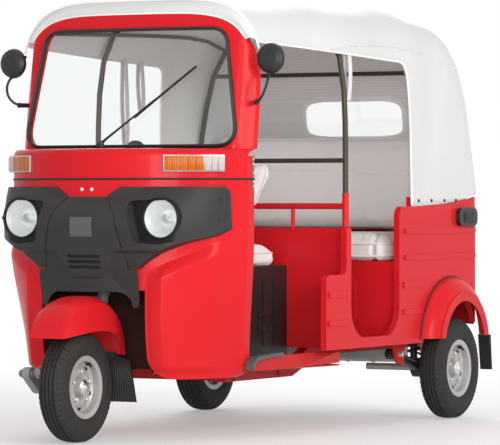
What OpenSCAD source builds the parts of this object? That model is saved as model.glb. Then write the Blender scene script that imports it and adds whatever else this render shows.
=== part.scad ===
// Auto rickshaw with an open passenger body and a fabric hood.
// Millimetres, +Z up, front towards -Y, +X to the vehicle's left.
// Inside the modules Y is measured back from the front axle.

/* [Overall] */
// Distance between the front axle and the rear axle
wheelbase = 2000; // [1900:5:2100]
// Front axle to the tip of the front mudguard
front_overhang = 208; // [200:1:214]
// Rear axle to the back of the rear bumper
rear_overhang = 427; // [410:1:440]
// Half width of the rear body sides
body_half_w = 580; // [565:1:590]
// Gap between two pieces that seat on each other
seat_gap = 0.3; // [0.2:0.05:0.5]

/* [Wheels] */
// Outer radius of every tyre
tyre_r = 205; // [198:1:212]
// Section width of every tyre
tyre_w = 107; // [98:1:112]
// Radius of the rim flange
rim_r = 117; // [112:1:122]
// Half of the distance between the rear tyres' middle planes
rear_half_track = 575; // [568:1:580]
// Radius of the front stub axle and of the rear shafts
shaft_r = 14; // [12:0.5:16]
// Running clearance between a shaft and its bore
shaft_gap = 0.06; // [0.03:0.01:0.1]

/* [Steering] */
// Lean of the steering axis from upright
rake = 24; // [20:1:28]
// Distance of the steering axis behind the front contact point, at ground level (negative is ahead)
axis_ground_y = -40; // [-60:1:-20]
// Height of the handlebar clamp
bar_z = 925; // [910:1:935]
// Half width over the grips
bar_half_w = 330; // [300:1:345]

/* [Cab front] */
// How much the nose's plan radius exceeds the cab's half width
nose_margin = 84; // [76:1:96]
// Front axle to the middle of the nose
nose_y = 80; // [74:1:90]
// Half width of the cab at the front pillars
cab_half_w = 527; // [515:1:535]
// Lower edge of the two leg shields
shield_z = 205; // [195:1:230]
// Half width of the wheel opening between the leg shields
opening_half_w = 225; // [222:1:240]
// Top of the wheel opening
opening_z = 562; // [558:1:568]
// Level of the seam between the shield and the cowl
seam_z = 975; // [965:1:985]
// Thickness of the cab's pressed walls
wall = 5; // [4:0.5:6]
// Level of the cowl's shoulder
shoulder_z = 1088; // [1080:1:1096]
// How far the leg shields tuck back at the bottom
shield_tuck = 42; // [30:1:55]

/* [Windscreen] */
// Foot of the windscreen plane, behind the front axle
screen_y = 350; // [344:1:356]
// Lean of the windscreen from upright
screen_lean = 7.7; // [6:0.1:9]
// Plan radius of the windscreen
screen_r = 2600; // [2300:10:3000]
// Distance of the window's lower corners from the frame's side
foot_margin = 64; // [57:1:74]
// Distance of the window's upper corners from the frame's side
head_margin = 131; // [121:1:139]
// Level of the window's lower edge
window_z0 = 1100; // [1096:1:1108]
// Level of the window's upper edge
window_z1 = 1541; // [1530:1:1548]
// Corner radius of the window
window_corner = 78; // [60:1:90]
// Depth of the windscreen frame
frame_depth = 30; // [26:1:36]
// Top of the windscreen frame on the middle line
frame_top_z = 1602; // [1596:1:1612]
// How far the windscreen frame stands in from the cab's sides
frame_inset = 8; // [4:1:14]
// Thickness of the glass
glass_t = 5; // [4:0.5:6]

/* [Floor and side panels] */
// Underside of the driver's floor
floor_z = 252; // [248:1:258]
// Level of the passengers' floor
deck_z = 336; // [330:1:342]
// Share of the wheelbase ahead of the partition behind the driver
partition_share = 0.5435; // [0.54:0.0005:0.547]
// Length of the panel below the door post
post_panel_l = 192; // [182:1:202]
// Lower edge of the side panels
sill_z = 318; // [312:1:322]
// Front face of the passengers' seat box, ahead of the rear axle
seat_box_ahead = 460; // [450:1:470]
// Upper edge of the rear quarter
quarter_z = 870; // [862:1:876]
// Thickness of the side panels
side_t = 25; // [20:1:30]
// Back of the rear panel, behind the rear axle
rear_panel_past = 300; // [290:1:310]

/* [Hood] */
// Thickness of the hood cloth with its lining
cloth = 4; // [3:0.5:5]
// Squareness of the hood's arches
arch_power = 5; // [4:0.1:6]
// Radius of the hood's bow tubes
bow_r = 11; // [10:0.5:13]

/* [Hidden] */
$fn = 64;
front_axle_y = -(wheelbase + rear_overhang - front_overhang) / 2;
axle_z = tyre_r;
nose_r = cab_half_w + nose_margin;
nose_cy = nose_y + nose_r;
frame_half_w = cab_half_w - frame_inset;
window_foot_w = frame_half_w - foot_margin;
window_head_w = frame_half_w - head_margin;
partition_y = partition_share * wheelbase;
post_panel_y = partition_y - post_panel_l;
seat_box_y = wheelbase - seat_box_ahead;
rear_y = wheelbase + rear_panel_past;
inside_w = body_half_w - side_t - seat_gap;
drawn_cab_w = 527;
cab_k = cab_half_w / drawn_cab_w;
paint = "#d3131c";
plastic = "#3a3c40";
vinyl = "#eeeeee";
rubber = "#1c1c1e";
steel = "#b9bcc0";
tube_brown = "#2a1c18";

// Placing and generic forms

module from_front_axle() { translate([0, front_axle_y, 0]) children(); }

module both_sides() {
    children();
    mirror([1, 0, 0]) children();
}

// Side-view outline (Y, Z) between two X planes
module across(x0, x1) {
    translate([x0, 0, 0]) rotate([90, 0, 90]) linear_extrude(x1 - x0) children();
}

// Front-view outline (X, Z) between two Y planes
module through(y0, y1) {
    translate([0, y1, 0]) rotate([90, 0, 0]) linear_extrude(y1 - y0) children();
}

// Plan outline between two levels
module upward(z0, z1) { translate([0, 0, z0]) linear_extrude(z1 - z0) children(); }

// Profile (radius, X) turned about the X axis at a point (Y, Z)
module about_axle(y, z) { translate([0, y, z]) rotate([0, 90, 0]) children(); }

module rounded(r) { offset(r) offset(delta = -r) children(); }

module filleted(r) { offset(-r) offset(delta = r) children(); }

module rounded_box(x, y, r) { rounded(r) translate([-x / 2, -y / 2]) square([x, y]); }

module rod(p, q, r) {
    d = q - p;
    translate(p)
        rotate([0, acos(d[2] / norm(d)), atan2(d[1], d[0])])
            cylinder(h = norm(d), r = r);
}

// Half of a squared ellipse, from +X over the top to -X
arch_steps = 24;
function arch(w, h, power = arch_power) = [
    for (i = [0:arch_steps])
        let (a = 180 * i / arch_steps)
        let (r = pow(pow(abs(cos(a)), power) + pow(abs(sin(a)), power), -1 / power))
        [w * r * cos(a), h * r * sin(a)]
];

// Closed solid between an outer and an inner grid of points with the same rows and columns
module grid_solid(outer, inner) {
    m = len(outer);
    n = len(outer[0]);
    points = [for (g = [outer, inner]) for (row = g) each row];
    function id(k, i, j) = k * m * n + i * n + j;
    function quad(a, b, c, d) = [[a, b, c], [a, c, d]];
    faces = [
        for (i = [0:m - 2]) for (j = [0:n - 2]) each concat(
            quad(id(0, i, j), id(0, i, j + 1), id(0, i + 1, j + 1), id(0, i + 1, j)),
            quad(id(1, i, j), id(1, i + 1, j), id(1, i + 1, j + 1), id(1, i, j + 1))),
        for (j = [0:n - 2]) each concat(
            quad(id(0, 0, j), id(1, 0, j), id(1, 0, j + 1), id(0, 0, j + 1)),
            quad(id(0, m - 1, j), id(0, m - 1, j + 1), id(1, m - 1, j + 1), id(1, m - 1, j))),
        for (i = [0:m - 2]) each concat(
            quad(id(0, i, 0), id(0, i + 1, 0), id(1, i + 1, 0), id(1, i, 0)),
            quad(id(0, i, n - 1), id(1, i, n - 1), id(1, i + 1, n - 1), id(0, i + 1, n - 1)))
    ];
    polyhedron(points, faces, convexity = 10);
}

// Round tube along a curve, its sides counted from a direction that the curve never follows
module swept_tube(points, up, r, sides = 10) {
    last = len(points) - 1;
    rings = [
        for (i = [0:last])
            let (t = points[min(i + 1, last)] - points[max(i - 1, 0)])
            let (side = cross(t, up) / norm(cross(t, up)))
            let (top = cross(side, t) / norm(cross(side, t)))
            [for (k = [0:sides - 1])
                let (a = 360 * k / sides) points[i] + r * (cos(a) * side + sin(a) * top)]
    ];
    function id(i, k) = i * sides + k % sides;
    faces = [
        for (i = [0:last - 1]) for (k = [0:sides - 1]) each [
            [id(i, k), id(i, k + 1), id(i + 1, k + 1)],
            [id(i, k), id(i + 1, k + 1), id(i + 1, k)]],
        [for (k = [sides - 1:-1:0]) id(0, k)],
        [for (k = [0:sides - 1]) id(last, k)]
    ];
    polyhedron([for (ring = rings) each ring], faces, convexity = 10);
}

// Points of a smooth curve through three or four control points
function bezier(c, steps = 8) = [
    for (i = [0:steps])
        let (t = i / steps, u = 1 - t)
        len(c) == 3 ? u * u * c[0] + 2 * u * t * c[1] + t * t * c[2]
            : u * u * u * c[0] + 3 * u * u * t * c[1] + 3 * u * t * t * c[2] + t * t * t * c[3]
];

// Bowed nose: shield, wheel well, cowl

// How far the shield's face sits back at a level: upright above, tucked back below
shield_bend_z = 480;
function tuck(z) = shield_tuck * pow(max(0, shield_bend_z - z) / (shield_bend_z - shield_z), 2);

// Y of the bowed nose, without the leg shields' pads
function shield_y(x, z) = nose_cy + tuck(z) - sqrt(nose_r * nose_r - x * x);

// A profile (radius, Z) turned about the nose's upright centre line
module nose_turn(half_angle) {
    translate([0, nose_cy, 0])
        rotate([0, 0, 270 - half_angle])
            rotate_extrude(angle = 2 * half_angle, $fn = 180) children();
}

seam_gap = 0.8;
jamb_depth = 56;
jamb_y = shield_y(cab_half_w, seam_z) + jamb_depth;

function ease(t) = let (u = min(1, max(0, t))) u * u * (3 - 2 * u);

// How far the pressed pad of each leg shield stands proud of the bowed nose
pad_rise = 27;
function pad_top(x) = 628 + 0.5 * (abs(x) - opening_half_w);
function pad(x, z) = pad_rise
    * ease((abs(x) - opening_half_w - 6) / 64) * ease((cab_half_w - 6 - abs(x)) / 34)
    * ease((z - shield_z - 14) / 44) * ease((pad_top(x) - z) / 50);

// Columns across half of the shield, from the jamb's rear edge to the middle, and rows from its foot
jamb_front = shield_y(cab_half_w, seam_z) - 2;
half_columns = [527, 520, 510, 500, 488, 460, 420, 370, 330, 300, 290, 278, 265, 252, 240, 232, 220, 180,
    120, 60];
shield_columns = concat([for (x = half_columns) x * cab_k], [0],
    [for (i = [len(half_columns) - 1:-1:0]) -half_columns[i] * cab_k]);
shield_rows = concat([for (z = [0, 12, 22, 32, 42, 55, 80, 120, 170, 220, 275]) shield_z + z],
    [545, 600, 625, 650, 675, 700, 725, 750, 775, 800, seam_z - seam_gap / 2]);

skin_depth = 1.2;

// One row of the shield's outer or inner face, with the jambs turned back at its ends
function shield_row(z, inset) =
    let (side = cab_half_w - inset)
    let (bow = [for (x = shield_columns)
        let (k = x * side / cab_half_w) [k, shield_y(x, z) - pad(x, z) + inset * skin_depth, z]])
    concat([[side, jamb_y, z]], bow, [[-side, jamb_y, z]]);

module front_shield() {
    color(paint) from_front_axle()
        difference() {
            grid_solid([for (z = shield_rows) shield_row(z, 0)],
                [for (z = shield_rows) shield_row(z, wall)]);
            through(0, 340) difference() {
                translate([-opening_half_w, 0]) square([2 * opening_half_w, opening_z]);
                for (s = [-1, 1])
                    translate([s * opening_half_w, opening_z]) rotate(s > 0 ? 180 : 270) corner(45);
            }
            for (s = [-1, 1])
                through(0, 600) {
                    translate([s * opening_half_w, shield_z - 1]) rotate(s > 0 ? 0 : 90) corner(85);
                    translate([s * (cab_half_w + 1), shield_z - 1]) rotate(s > 0 ? 90 : 0) corner(60);
                }
            for (s = [-1, 1])
                translate([s * lamp_x, 0, lamp_z]) rotate([-90, 0, 0])
                    cylinder(h = 300, r = lamp_r + bezel + seat_gap);
        }
}

// What a rounding takes off a square corner at the origin, towards +X and +Y
module corner(r) {
    difference() {
        translate([-1, -1]) square(r + 1);
        translate([r, r]) circle(r);
    }
}

well_back_y = 345;
well_z = 612;

head_r = 33;
head_z0 = 606;
head_z1 = 780;

// Y just behind the shield's skin
function behind_shield(x, z) =
    shield_y(min(cab_half_w, abs(x) * cab_half_w / (cab_half_w - wall)), z) + skin_depth * wall + 2;

// Wheel well between the leg shields, with the steering head's tube through its roof
module front_wheel_well() {
    half = opening_half_w + 9;
    low = floor_z + floor_t;
    color(paint) from_front_axle()
        difference() {
            union() {
                upward(well_z - 4, well_z) polygon(concat(
                    [for (i = [-6:6]) [half * i / 6, behind_shield(half * i / 6, well_z)]],
                    [[half, well_back_y], [-half, well_back_y]]));
                both_sides() across(half - 4, half) polygon(concat(
                    [for (i = [0:6]) let (z = low + (well_z - low) * i / 6) [behind_shield(half, z), z]],
                    [[well_back_y, well_z], [well_back_y, low]]));
                through(well_back_y - 4, well_back_y)
                    translate([-half, low]) square([2 * half, well_z - low]);
                steering_frame() translate([0, 0, head_z0]) cylinder(h = head_z1 - head_z0, r = head_r);
            }
            steering_frame() cylinder(h = 900, r = column_r + shaft_gap);
        }
}

shelf_rise = 7;
shelf_r = 250;
shoulder_r = 26;

// Cowl's outer profile, inset by a distance and run past its open edges
module cowl_profile(inset, past = 0) {
    face = nose_r - inset;
    top = shoulder_z - inset;
    polygon(concat(
        [[shelf_r - past, seam_z + seam_gap / 2 - past], [face, seam_z + seam_gap / 2 - past]],
        [for (a = [0:10:90])
            [face - shoulder_r + shoulder_r * cos(a), top - shoulder_r + shoulder_r * sin(a)]],
        [[shelf_r - past, top + shelf_rise]]));
}

module front_cowl() {
    color(paint) from_front_axle() {
        intersection() {
            nose_turn(89) difference() {
                cowl_profile(0);
                cowl_profile(wall, 2);
            }
            upward(seam_z, shoulder_z + 2 * shelf_rise)
                translate([-cab_half_w, -10]) square([2 * cab_half_w, jamb_y + 10]);
        }
        both_sides() upward(seam_z + seam_gap / 2, shoulder_z - shoulder_r)
            polygon([[cab_half_w, jamb_front + 4], [cab_half_w, jamb_y], [cab_half_w - wall, jamb_y],
                [cab_half_w - wall, jamb_front - 2]]);
    }
}

// Windscreen: frame, gasket and glass on one leaning, slightly bowed plane

module screen_frame() { translate([0, screen_y, window_z0]) rotate([-screen_lean, 0, 0]) children(); }

// Bowed slab between two depths behind the screen's face, in the screen's own frame
module screen_slab(front, back) {
    translate([0, screen_r, -200]) linear_extrude(1000) difference() {
        circle(screen_r - front, $fn = 360);
        circle(screen_r - back, $fn = 360);
    }
}

screen_h = (window_z1 - window_z0) / cos(screen_lean);
arch_h = (frame_top_z - window_z0) / cos(screen_lean);

module window_outline() {
    rounded(window_corner) polygon([[-window_foot_w, 0], [window_foot_w, 0],
        [window_head_w, screen_h], [-window_head_w, screen_h]]);
}

module screen_cut(front, back) {
    intersection() {
        screen_slab(front, back);
        through(-60, 140) children();
    }
}

module windscreen_frame() {
    color(paint) from_front_axle()
        difference() {
            screen_frame() screen_cut(0, frame_depth) difference() {
                polygon(concat([[frame_half_w, -60]], arch(frame_half_w, arch_h), [[-frame_half_w, -60]]));
                window_outline();
            }
            nose_turn(89) cowl_profile(-seat_gap);
        }
}

gasket_lip = 12;
gasket_w = 26;
lip_t = 5;

module windscreen_gasket() {
    color(rubber) from_front_axle() difference() {
        gasket_ring();
        nose_turn(89) cowl_profile(-seat_gap);
    }
}

module gasket_ring() {
    screen_frame() {
        screen_cut(-lip_t, frame_depth / 2) difference() {
            offset(delta = -seat_gap) window_outline();
            offset(delta = -gasket_w) window_outline();
        }
        screen_cut(-lip_t, -seat_gap) difference() {
            offset(delta = gasket_lip) window_outline();
            offset(delta = -gasket_w) window_outline();
        }
    }
}

module windscreen_glass() {
    color("#dfe8ea", 0.3) from_front_axle() screen_frame()
        screen_cut(1, 1 + glass_t) offset(delta = -gasket_w - seat_gap) window_outline();
}

// Plastic fascia over the nose

fascia_y = 32;
fascia_z = 800;
fascia_min = 6;
mask_end = 482 * cab_k;
mask_end_step = 23.5;
mask_depth = shield_y(mask_end, fascia_z) - fascia_y - mask_end_step;
chin_z = 613;
chin_step = 13;

// How far the centre panel steps back below the boss that carries the louvres
function chin(x, z) = chin_step * ease((chin_z + 100 * ease((abs(x) - 52) / 88) - z) / 15);

// Y of the mask's outer face: fuller than the nose, set back above and below its fullest level
function fascia_face(x, z) =
    let (t = abs(x) / mask_end, up = max(0, z - fascia_z), down = max(0, fascia_z - z))
    let (bow = mask_depth * (0.25 * t * t + 0.75 * pow(t, 6)))
    let (set_back = (52 * pow(up / 110, 2) + 0.19 * down) * (1 - 0.8 * t * t))
    min(fascia_y + bow + set_back + chin(x, z), shield_y(x, z) - fascia_min);

// Rows of [z, inner x, outer x] with points spread evenly between
module fascia_loft(rows, steps) {
    function grid(depth) = [
        for (row = rows) [
            for (j = [0:steps])
                let (x = row[2] + (row[1] - row[2]) * j / steps, z = row[0])
                [x, depth ? shield_y(x, z) + 14 : fascia_face(x, z), z]]
    ];
    difference() {
        grid_solid(grid(false), grid(true));
        translate([0, nose_cy, 0]) cylinder(h = 2 * seam_z, r = nose_r + seat_gap, $fn = 180);
    }
}

// Columns: level, half width of the centre panel
centre_rows = [[500, 205], [530, 211], [600, 212], [637, 212], [640, 177], [680, 172], [740, 158], [800, 145],
    [850, 130], [885, 104], [909, 76]];
row_step = 13;

// Rows of the centre panel, with others put in between them so that the chin's step is followed
function fine_rows(rows) = concat(
    [for (i = [0:len(rows) - 2])
        let (n = ceil((rows[i + 1][0] - rows[i][0]) / row_step))
        for (k = [0:n - 1]) rows[i] + (rows[i + 1] - rows[i]) * k / n],
    [rows[len(rows) - 1]]);

module fascia_centre() {
    color(plastic) from_front_axle()
        difference() {
            fascia_loft([for (row = fine_rows(centre_rows)) [row[0], -row[1] * cab_k, row[1] * cab_k]], 28);
            for (z = [648, 668, 688])
                translate([0, fascia_face(0, z) - 20, z]) rotate([8, 0, 0]) cube([140, 56, 9], center = true);
            through(0, 200) translate([0, opening_z - 106]) rounded_box(2 * ear_x, 200, 60);
        }
}

ear_x = 186;

// Columns: level, inner x, outer x
side_rows = [[642, 180, 212], [668, 177, 240], [700, 170, 285], [735, 163, 360], [765, 156, 455],
    [790, 151, 486], [840, 137, 484], [880, 112, 483], [909, 82, 482], [930, 112, 480], [946, 140, 468]];
lamp_x = 302 * cab_k;
lamp_z = 829;
lamp_r = 71;
bezel = 7;
lamp_y = 106;

module fascia_sides() {
    color(plastic) from_front_axle() both_sides()
        difference() {
            fascia_loft([for (row = fine_rows(side_rows)) [row[0], row[1] * cab_k, row[2] * cab_k]], 16);
            translate([lamp_x, -20, lamp_z]) rotate([-90, 0, 0])
                cylinder(h = 220, r = lamp_r + bezel + seat_gap);
            through(-20, lamp_y + pocket_past) translate([lamp_x, lamp_z]) lamp_pocket();
        }
}

pocket_past = 2;

// Outline of the recess round a lamp, from the lamp's middle: slanted inside, open towards the side
module lamp_pocket() {
    rounded(20) polygon([[-124, 64], [-90, -88], [0, -96], [150, -66], [150, 80]]);
}

module lamp_turn() {
    translate([lamp_x, lamp_y, lamp_z]) rotate([-90, 0, 0]) rotate_extrude() children();
}

module headlamp_bowls() {
    color(steel) from_front_axle() both_sides()
        lamp_turn() polygon([[0, 72], [40, 66], [lamp_r + bezel, 30], [lamp_r + bezel, -4], [lamp_r, -4],
            [lamp_r, 4], [lamp_r - 6, 8], [36, 56], [0, 62]]);
}

module headlamp_lenses() {
    color("#e8eef0", 0.4) from_front_axle() both_sides()
        lamp_turn() polygon([[0, -14], [30, -12], [55, -6], [lamp_r - seat_gap, 0], [lamp_r - seat_gap, 3],
            [55, -2], [30, -8], [0, -10]]);
}

module front_indicators() {
    centre = asin(382 * cab_k / nose_r);
    span = 21.6;
    color("#f08a1e") from_front_axle() both_sides()
        translate([0, nose_cy, 0]) rotate([0, 0, 270 + centre - span / 2])
            rotate_extrude(angle = span, $fn = 180)
                translate([nose_r + seat_gap, 1002]) rounded(5) square([14, 62]);
}

// Y of the windscreen's outer face
function screen_face(x, z) = screen_y + x * x / (2 * screen_r) + (z - window_z0) * tan(screen_lean);

module wiper() {
    pivot = [-82, 318, shoulder_z + 22];
    tip = [290, screen_face(290, 1400) - 12, 1400];
    root = tip + 0.93 * (pivot - tip) + [0, 14, 0];
    color(rubber) from_front_axle() {
        difference() {
            rod(pivot + [0, 0, -60], pivot + [0, 0, 6], 11);
            nose_turn(89) cowl_profile(-seat_gap);
        }
        swept_tube(bezier([pivot, pivot + [60, 12, 70], tip]), [0, 1, 0.1], 5);
    }
}

mirror_r = 58;
mirror_x = frame_half_w + 49;
mirror_z = 1426;

module mirrors() {
    foot = [frame_half_w + seat_gap, screen_face(frame_half_w, 1263) + frame_depth / 2, 1263];
    head = [mirror_x, foot[1] + 26, mirror_z];
    color(rubber) from_front_axle() both_sides() {
        rod(foot, foot + [9, 0, 0], 10);
        swept_tube(bezier([foot + [6, 0, 0], foot + [58, -30, 20], foot + [60, -20, 90],
            head + [0, 0, 8 - mirror_r]]), [0, 1, 0.1], 5);
        translate(head) rotate([90, 0, 0]) rotate_extrude()
            polygon([[0, -8], [mirror_r - 4, -8], [mirror_r, -4], [mirror_r - 4, 8], [38, 18], [0, 24]]);
    }
}

// Instrument board under the cowl's shelf
module dashboard() {
    color(plastic) from_front_axle()
        intersection() {
            across(-300, 300) rounded(12)
                polygon([[300, 1036], [400, 1030], [432, 1056], [432, 1110], [300, 1110]]);
            translate([0, nose_cy, 0]) rotate_extrude($fn = 180) cowl_profile(wall + seat_gap);
        }
}

// Floors, rails and panels

floor_half_w = body_half_w - 42;
floor_t = 6;

module driver_floor() {
    inner = cab_half_w - wall - 1;
    past_jamb = jamb_y + 1;
    color(paint) from_front_axle() {
        upward(floor_z, floor_z + floor_t) difference() {
            polygon(concat(
                [for (i = [-20:20])
                    let (x = inner * i / 20) [x, min(past_jamb - 2, behind_shield(x, floor_z))]],
                [[inner, past_jamb], [floor_half_w, past_jamb], [floor_half_w, partition_y],
                    [-floor_half_w, partition_y], [-floor_half_w, past_jamb], [-inner, past_jamb]]));
            translate([-opening_half_w - 10, 0]) square([2 * opening_half_w + 20, well_back_y + seat_gap]);
        }
        both_sides() across(floor_half_w - 22, floor_half_w) rounded(6)
            polygon([[past_jamb, floor_z], [partition_y, floor_z + 12], [partition_y, 308],
                [past_jamb, 306]]);
    }
}

// Curved foot bars on short legs
module foot_rail() {
    x = floor_half_w - 60;
    top = floor_z + floor_t + seat_gap;
    color("#77797c") from_front_axle() both_sides()
        across(x - 18, x + 18) {
            offset(6) polygon([[470, 280], [500, 300], [560, 306], [700, 312], [700, 310], [560, 303],
                [501, 297], [473, 278]]);
            translate([466, top]) square([12, 280 - top]);
            translate([688, top]) square([14, 308 - top]);
        }
}

rail_x = 300;
rail_half_w = 22;
rail_z = 205;
eye_y = wheelbase + 318;
eye_z = 284;
eye_r = 11;
bumper_y = wheelbase + rear_overhang - 44;

rail_front = jamb_y + 122;

module chassis_rails() {
    under = floor_z - seat_gap;
    under_deck = deck_z - seat_gap;
    back = bumper_y - seat_gap;
    color(paint) from_front_axle() {
        for (x = [-rail_x, rail_x])
            across(x - rail_half_w, x + rail_half_w)
                difference() {
                    polygon([[rail_front, under], [partition_y + 6, under], [partition_y + 213, under_deck],
                        [back, under_deck], [back, 240], [wheelbase + 250, 280], [partition_y + 243, 280],
                        [partition_y + 13, rail_z], [rail_front, rail_z]]);
                    translate([eye_y, eye_z]) circle(eye_r);
                }
        for (y = [rail_front + 60, partition_y - 107])
            across(-330, 330) translate([y, rail_z + 2]) square([40, 40]);
        across(-bracket_x - 2, bracket_x + 2) translate([bracket_y, 302]) square([60, 30]);
        both_sides() across(bracket_x, bracket_x + 12) rounded(8)
            translate([bracket_y, 0]) polygon([[-20, 332], [90, 332], [80, 236], [26, 232]]);
    }
}

module passenger_floor() {
    front = partition_y + partition_t + seat_gap;
    color(paint) from_front_axle()
        upward(deck_z, deck_z + 5)
            translate([-inside_w, front]) square([2 * inside_w, seat_box_y - front - seat_gap]);
}

partition_t = 10;
hoop_y = partition_y + partition_t / 2;
post_z = 787;
bar_level = 872;
bar_r = 12;
hoop_x = body_half_w - side_t + 6;

module partition() {
    bar_end = hoop_x - bow_r - seat_gap;
    color(paint) from_front_axle() {
        through(partition_y, partition_y + partition_t)
            translate([-inside_w, sill_z]) square([2 * inside_w, post_z - sill_z]);
        rod([-bar_end, hoop_y, bar_level], [bar_end, hoop_y, bar_level], bar_r);
        for (x = [-330, 0, 330]) rod([x, hoop_y, post_z - 7], [x, hoop_y, bar_level], 8);
    }
}

seat_half_w = 305;
driver_seat_z = 640;

module driver_seat_box() {
    back = partition_y - seat_gap;
    foot = floor_z + floor_t + seat_gap;
    color(plastic) from_front_axle()
        difference() {
            across(-seat_half_w, seat_half_w) rounded(16)
                polygon([[back - 367, driver_seat_z], [back, driver_seat_z], [back, foot],
                    [back - 297, foot]]);
            for (s = [-1, 1]) for (y = [back - 217, back - 127])
                translate([s * seat_half_w, y, 455]) cube([10, 50, 250], center = true);
        }
}

module soft_block(x, y, z, r) {
    linear_extrude(z) rounded_box(x, y, r);
}

module driver_cushion() {
    color(vinyl) from_front_axle()
        translate([0, partition_y - 202, driver_seat_z + seat_gap]) soft_block(2 * seat_half_w, 370, 74, 50);
}

module driver_backrest() {
    color(vinyl) from_front_axle()
        through(hoop_y - bar_r - seat_gap - 54, hoop_y - bar_r - seat_gap) rounded(50)
            polygon([[-200, 858], [200, 858], [262, 1000], [250, 1040], [-250, 1040], [-262, 1000]]);
}

entry_front = partition_y + 4;
entry_back = seat_box_y - 13;
entry_z = 358;
arch_y = wheelbase;
arch_z = 292;
arch_r = 288;

module side_outline() {
    difference() {
        filleted(30) {
            translate([post_panel_y, sill_z]) square([entry_front + 24 - post_panel_y, 607 - sill_z]);
            translate([entry_front - 26, sill_z]) square([40, post_z - sill_z]);
            translate([post_panel_y, sill_z]) square([rear_y - 60 - post_panel_y, entry_z - sill_z]);
            translate([entry_back, sill_z]) square([rear_y - 60 - entry_back, quarter_z - sill_z]);
        }
        translate([entry_front + 14, entry_z]) rounded(55) square([entry_back - entry_front - 14, 700]);
        translate([entry_back, quarter_z]) rotate(270) corner(42);
        translate([post_panel_y, 607]) rotate(270) corner(26);
        translate([arch_y, arch_z]) circle(arch_r - 30, $fn = 120);
        translate([arch_y - arch_r + 30, 0]) square([2 * arch_r - 60, arch_z]);
    }
}

// Pressed ribs: level, front and back
// Measured from the rear axle on the quarter and from the partition on the post panel
quarter_ribs = [[770, -425, 232], [665, -425, 232], [556, -440, -240], [447, -440, -284]];
post_ribs = [[530, -175, -25], [420, -175, -25]];

module side_panel() {
    color(paint) from_front_axle() {
        across(body_half_w - side_t, body_half_w) side_outline();
        for (rib = quarter_ribs) pressed_rib(rib, wheelbase);
        for (rib = post_ribs) pressed_rib(rib, partition_y);
    }
}

module pressed_rib(rib, from_y) {
    across(body_half_w - 1, body_half_w + 7) rounded(9)
        translate([from_y + rib[1], rib[0] - 11]) square([rib[2] - rib[1], 22]);
}

module side_panel_left() { side_panel(); }

module side_panel_right() { mirror([1, 0, 0]) side_panel(); }

seat_z = 650;
back_panel_y = wheelbase + 180;

// Outer face of the wheel houses' walls beside the rear wheels
house_x = min(rear_half_track - tyre_w / 2 - 24, inside_w - 20);

module seat_box() {
    depth = back_panel_y - seat_box_y;
    color(paint) from_front_axle() {
        through(seat_box_y, seat_box_y + 8)
            translate([-inside_w, deck_z]) square([2 * inside_w, seat_z - deck_z]);
        through(seat_box_y - 6, seat_box_y + 1) difference() {
            translate([0, 490]) rounded_box(760, 210, 50);
            translate([0, 490]) rounded_box(720, 170, 36);
        }
        upward(seat_z - 8, seat_z) translate([-inside_w, seat_box_y]) square([2 * inside_w, depth]);
        both_sides() across(house_x - 5, house_x)
            translate([seat_box_y + 4, 420]) square([depth - 4, seat_z - 424]);
        through(back_panel_y - 8, back_panel_y)
            translate([-inside_w, seat_z - 8]) square([2 * inside_w, quarter_z - seat_z]);
    }
}

module passenger_cushion() {
    color(vinyl) from_front_axle()
        translate([0, seat_box_y + 208, seat_z + seat_gap]) soft_block(2 * inside_w - 30, 440, 100, 60);
}

module passenger_backrest() {
    back = back_panel_y - 8 - seat_gap;
    half = inside_w - 20;
    color(vinyl) from_front_axle()
        across(-half, half) rounded(30)
            translate([back, 756])
                polygon([[-197, 0], [0, 0], [0, 104], [-100, 419], [-177, 419], [-207, 144]]);
}

// Hood: bows, rail, cloth and visor

// Arches of the hood from the windscreen to the tail, squarer where they lie down behind the seat
// Columns: foot y, foot z, crown y, crown z, distance in from the body's side, added squareness
front_arch_y = 470;
mid_arch_y = (front_arch_y + partition_y) / 2;
hood_arches = [
    [front_arch_y, 870, front_arch_y, 1655, 35, 0],
    [mid_arch_y, 870, mid_arch_y, 1667, 12, 0],
    [partition_y + 3, 870, partition_y + 3, 1678, 1, 0],
    [wheelbase - 550, 870, wheelbase - 520, 1690, 0, 0],
    [wheelbase - 360, 870, wheelbase - 280, 1692, 0, 0],
    [wheelbase - 240, 873, wheelbase - 100, 1672, 0, 0.5],
    [wheelbase - 140, 877, wheelbase + 65, 1630, 0, 1],
    [wheelbase - 50, 882, wheelbase + 140, 1555, 0, 2],
    [wheelbase + 30, 888, wheelbase + 200, 1420, 0, 3],
    [wheelbase + 90, 895, wheelbase + 240, 1180, 0, 5],
    [wheelbase + 150, 902, wheelbase + 285, 925, 0, 7]];

// Points of one arch, drawn in by a distance
function hood_arch(row, inset) =
    let (foot = [0, row[0], row[1]], rise = [0, row[2], row[3]] - [0, row[0], row[1]])
    let (h = norm(rise))
    let (points = arch(body_half_w - row[4] - inset, h - inset, arch_power + row[5]))
    [for (p = points) foot + [p[0], 0, 0] + rise * (p[1] / h)];

flap_front = wheelbase - 360;
rear_window_x = 20;

module rear_window_cut(gap) {
    through(wheelbase + 150, wheelbase + 400)
        translate([rear_window_x, 1240]) rounded_box(480 - 2 * gap, 170 - 2 * gap, 45);
}

module hood_skin(outer, inner) {
    grid_solid([for (row = hood_arches) hood_arch(row, outer)],
        [for (row = hood_arches) hood_arch(row, inner)]);
}

module hood() {
    color(vinyl) from_front_axle()
        difference() {
            hood_skin(0, cloth);
            across(-700, 700) rounded(40)
                polygon([[200, 1500], [400, 1493], [flap_front - 24, 1447], [flap_front, 800], [200, 700]]);
            rear_window_cut(0);
        }
}

module rear_window() {
    color("#eef2f3", 0.3) from_front_axle()
        intersection() {
            hood_skin(1, 3);
            rear_window_cut(seat_gap);
        }
}

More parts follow.
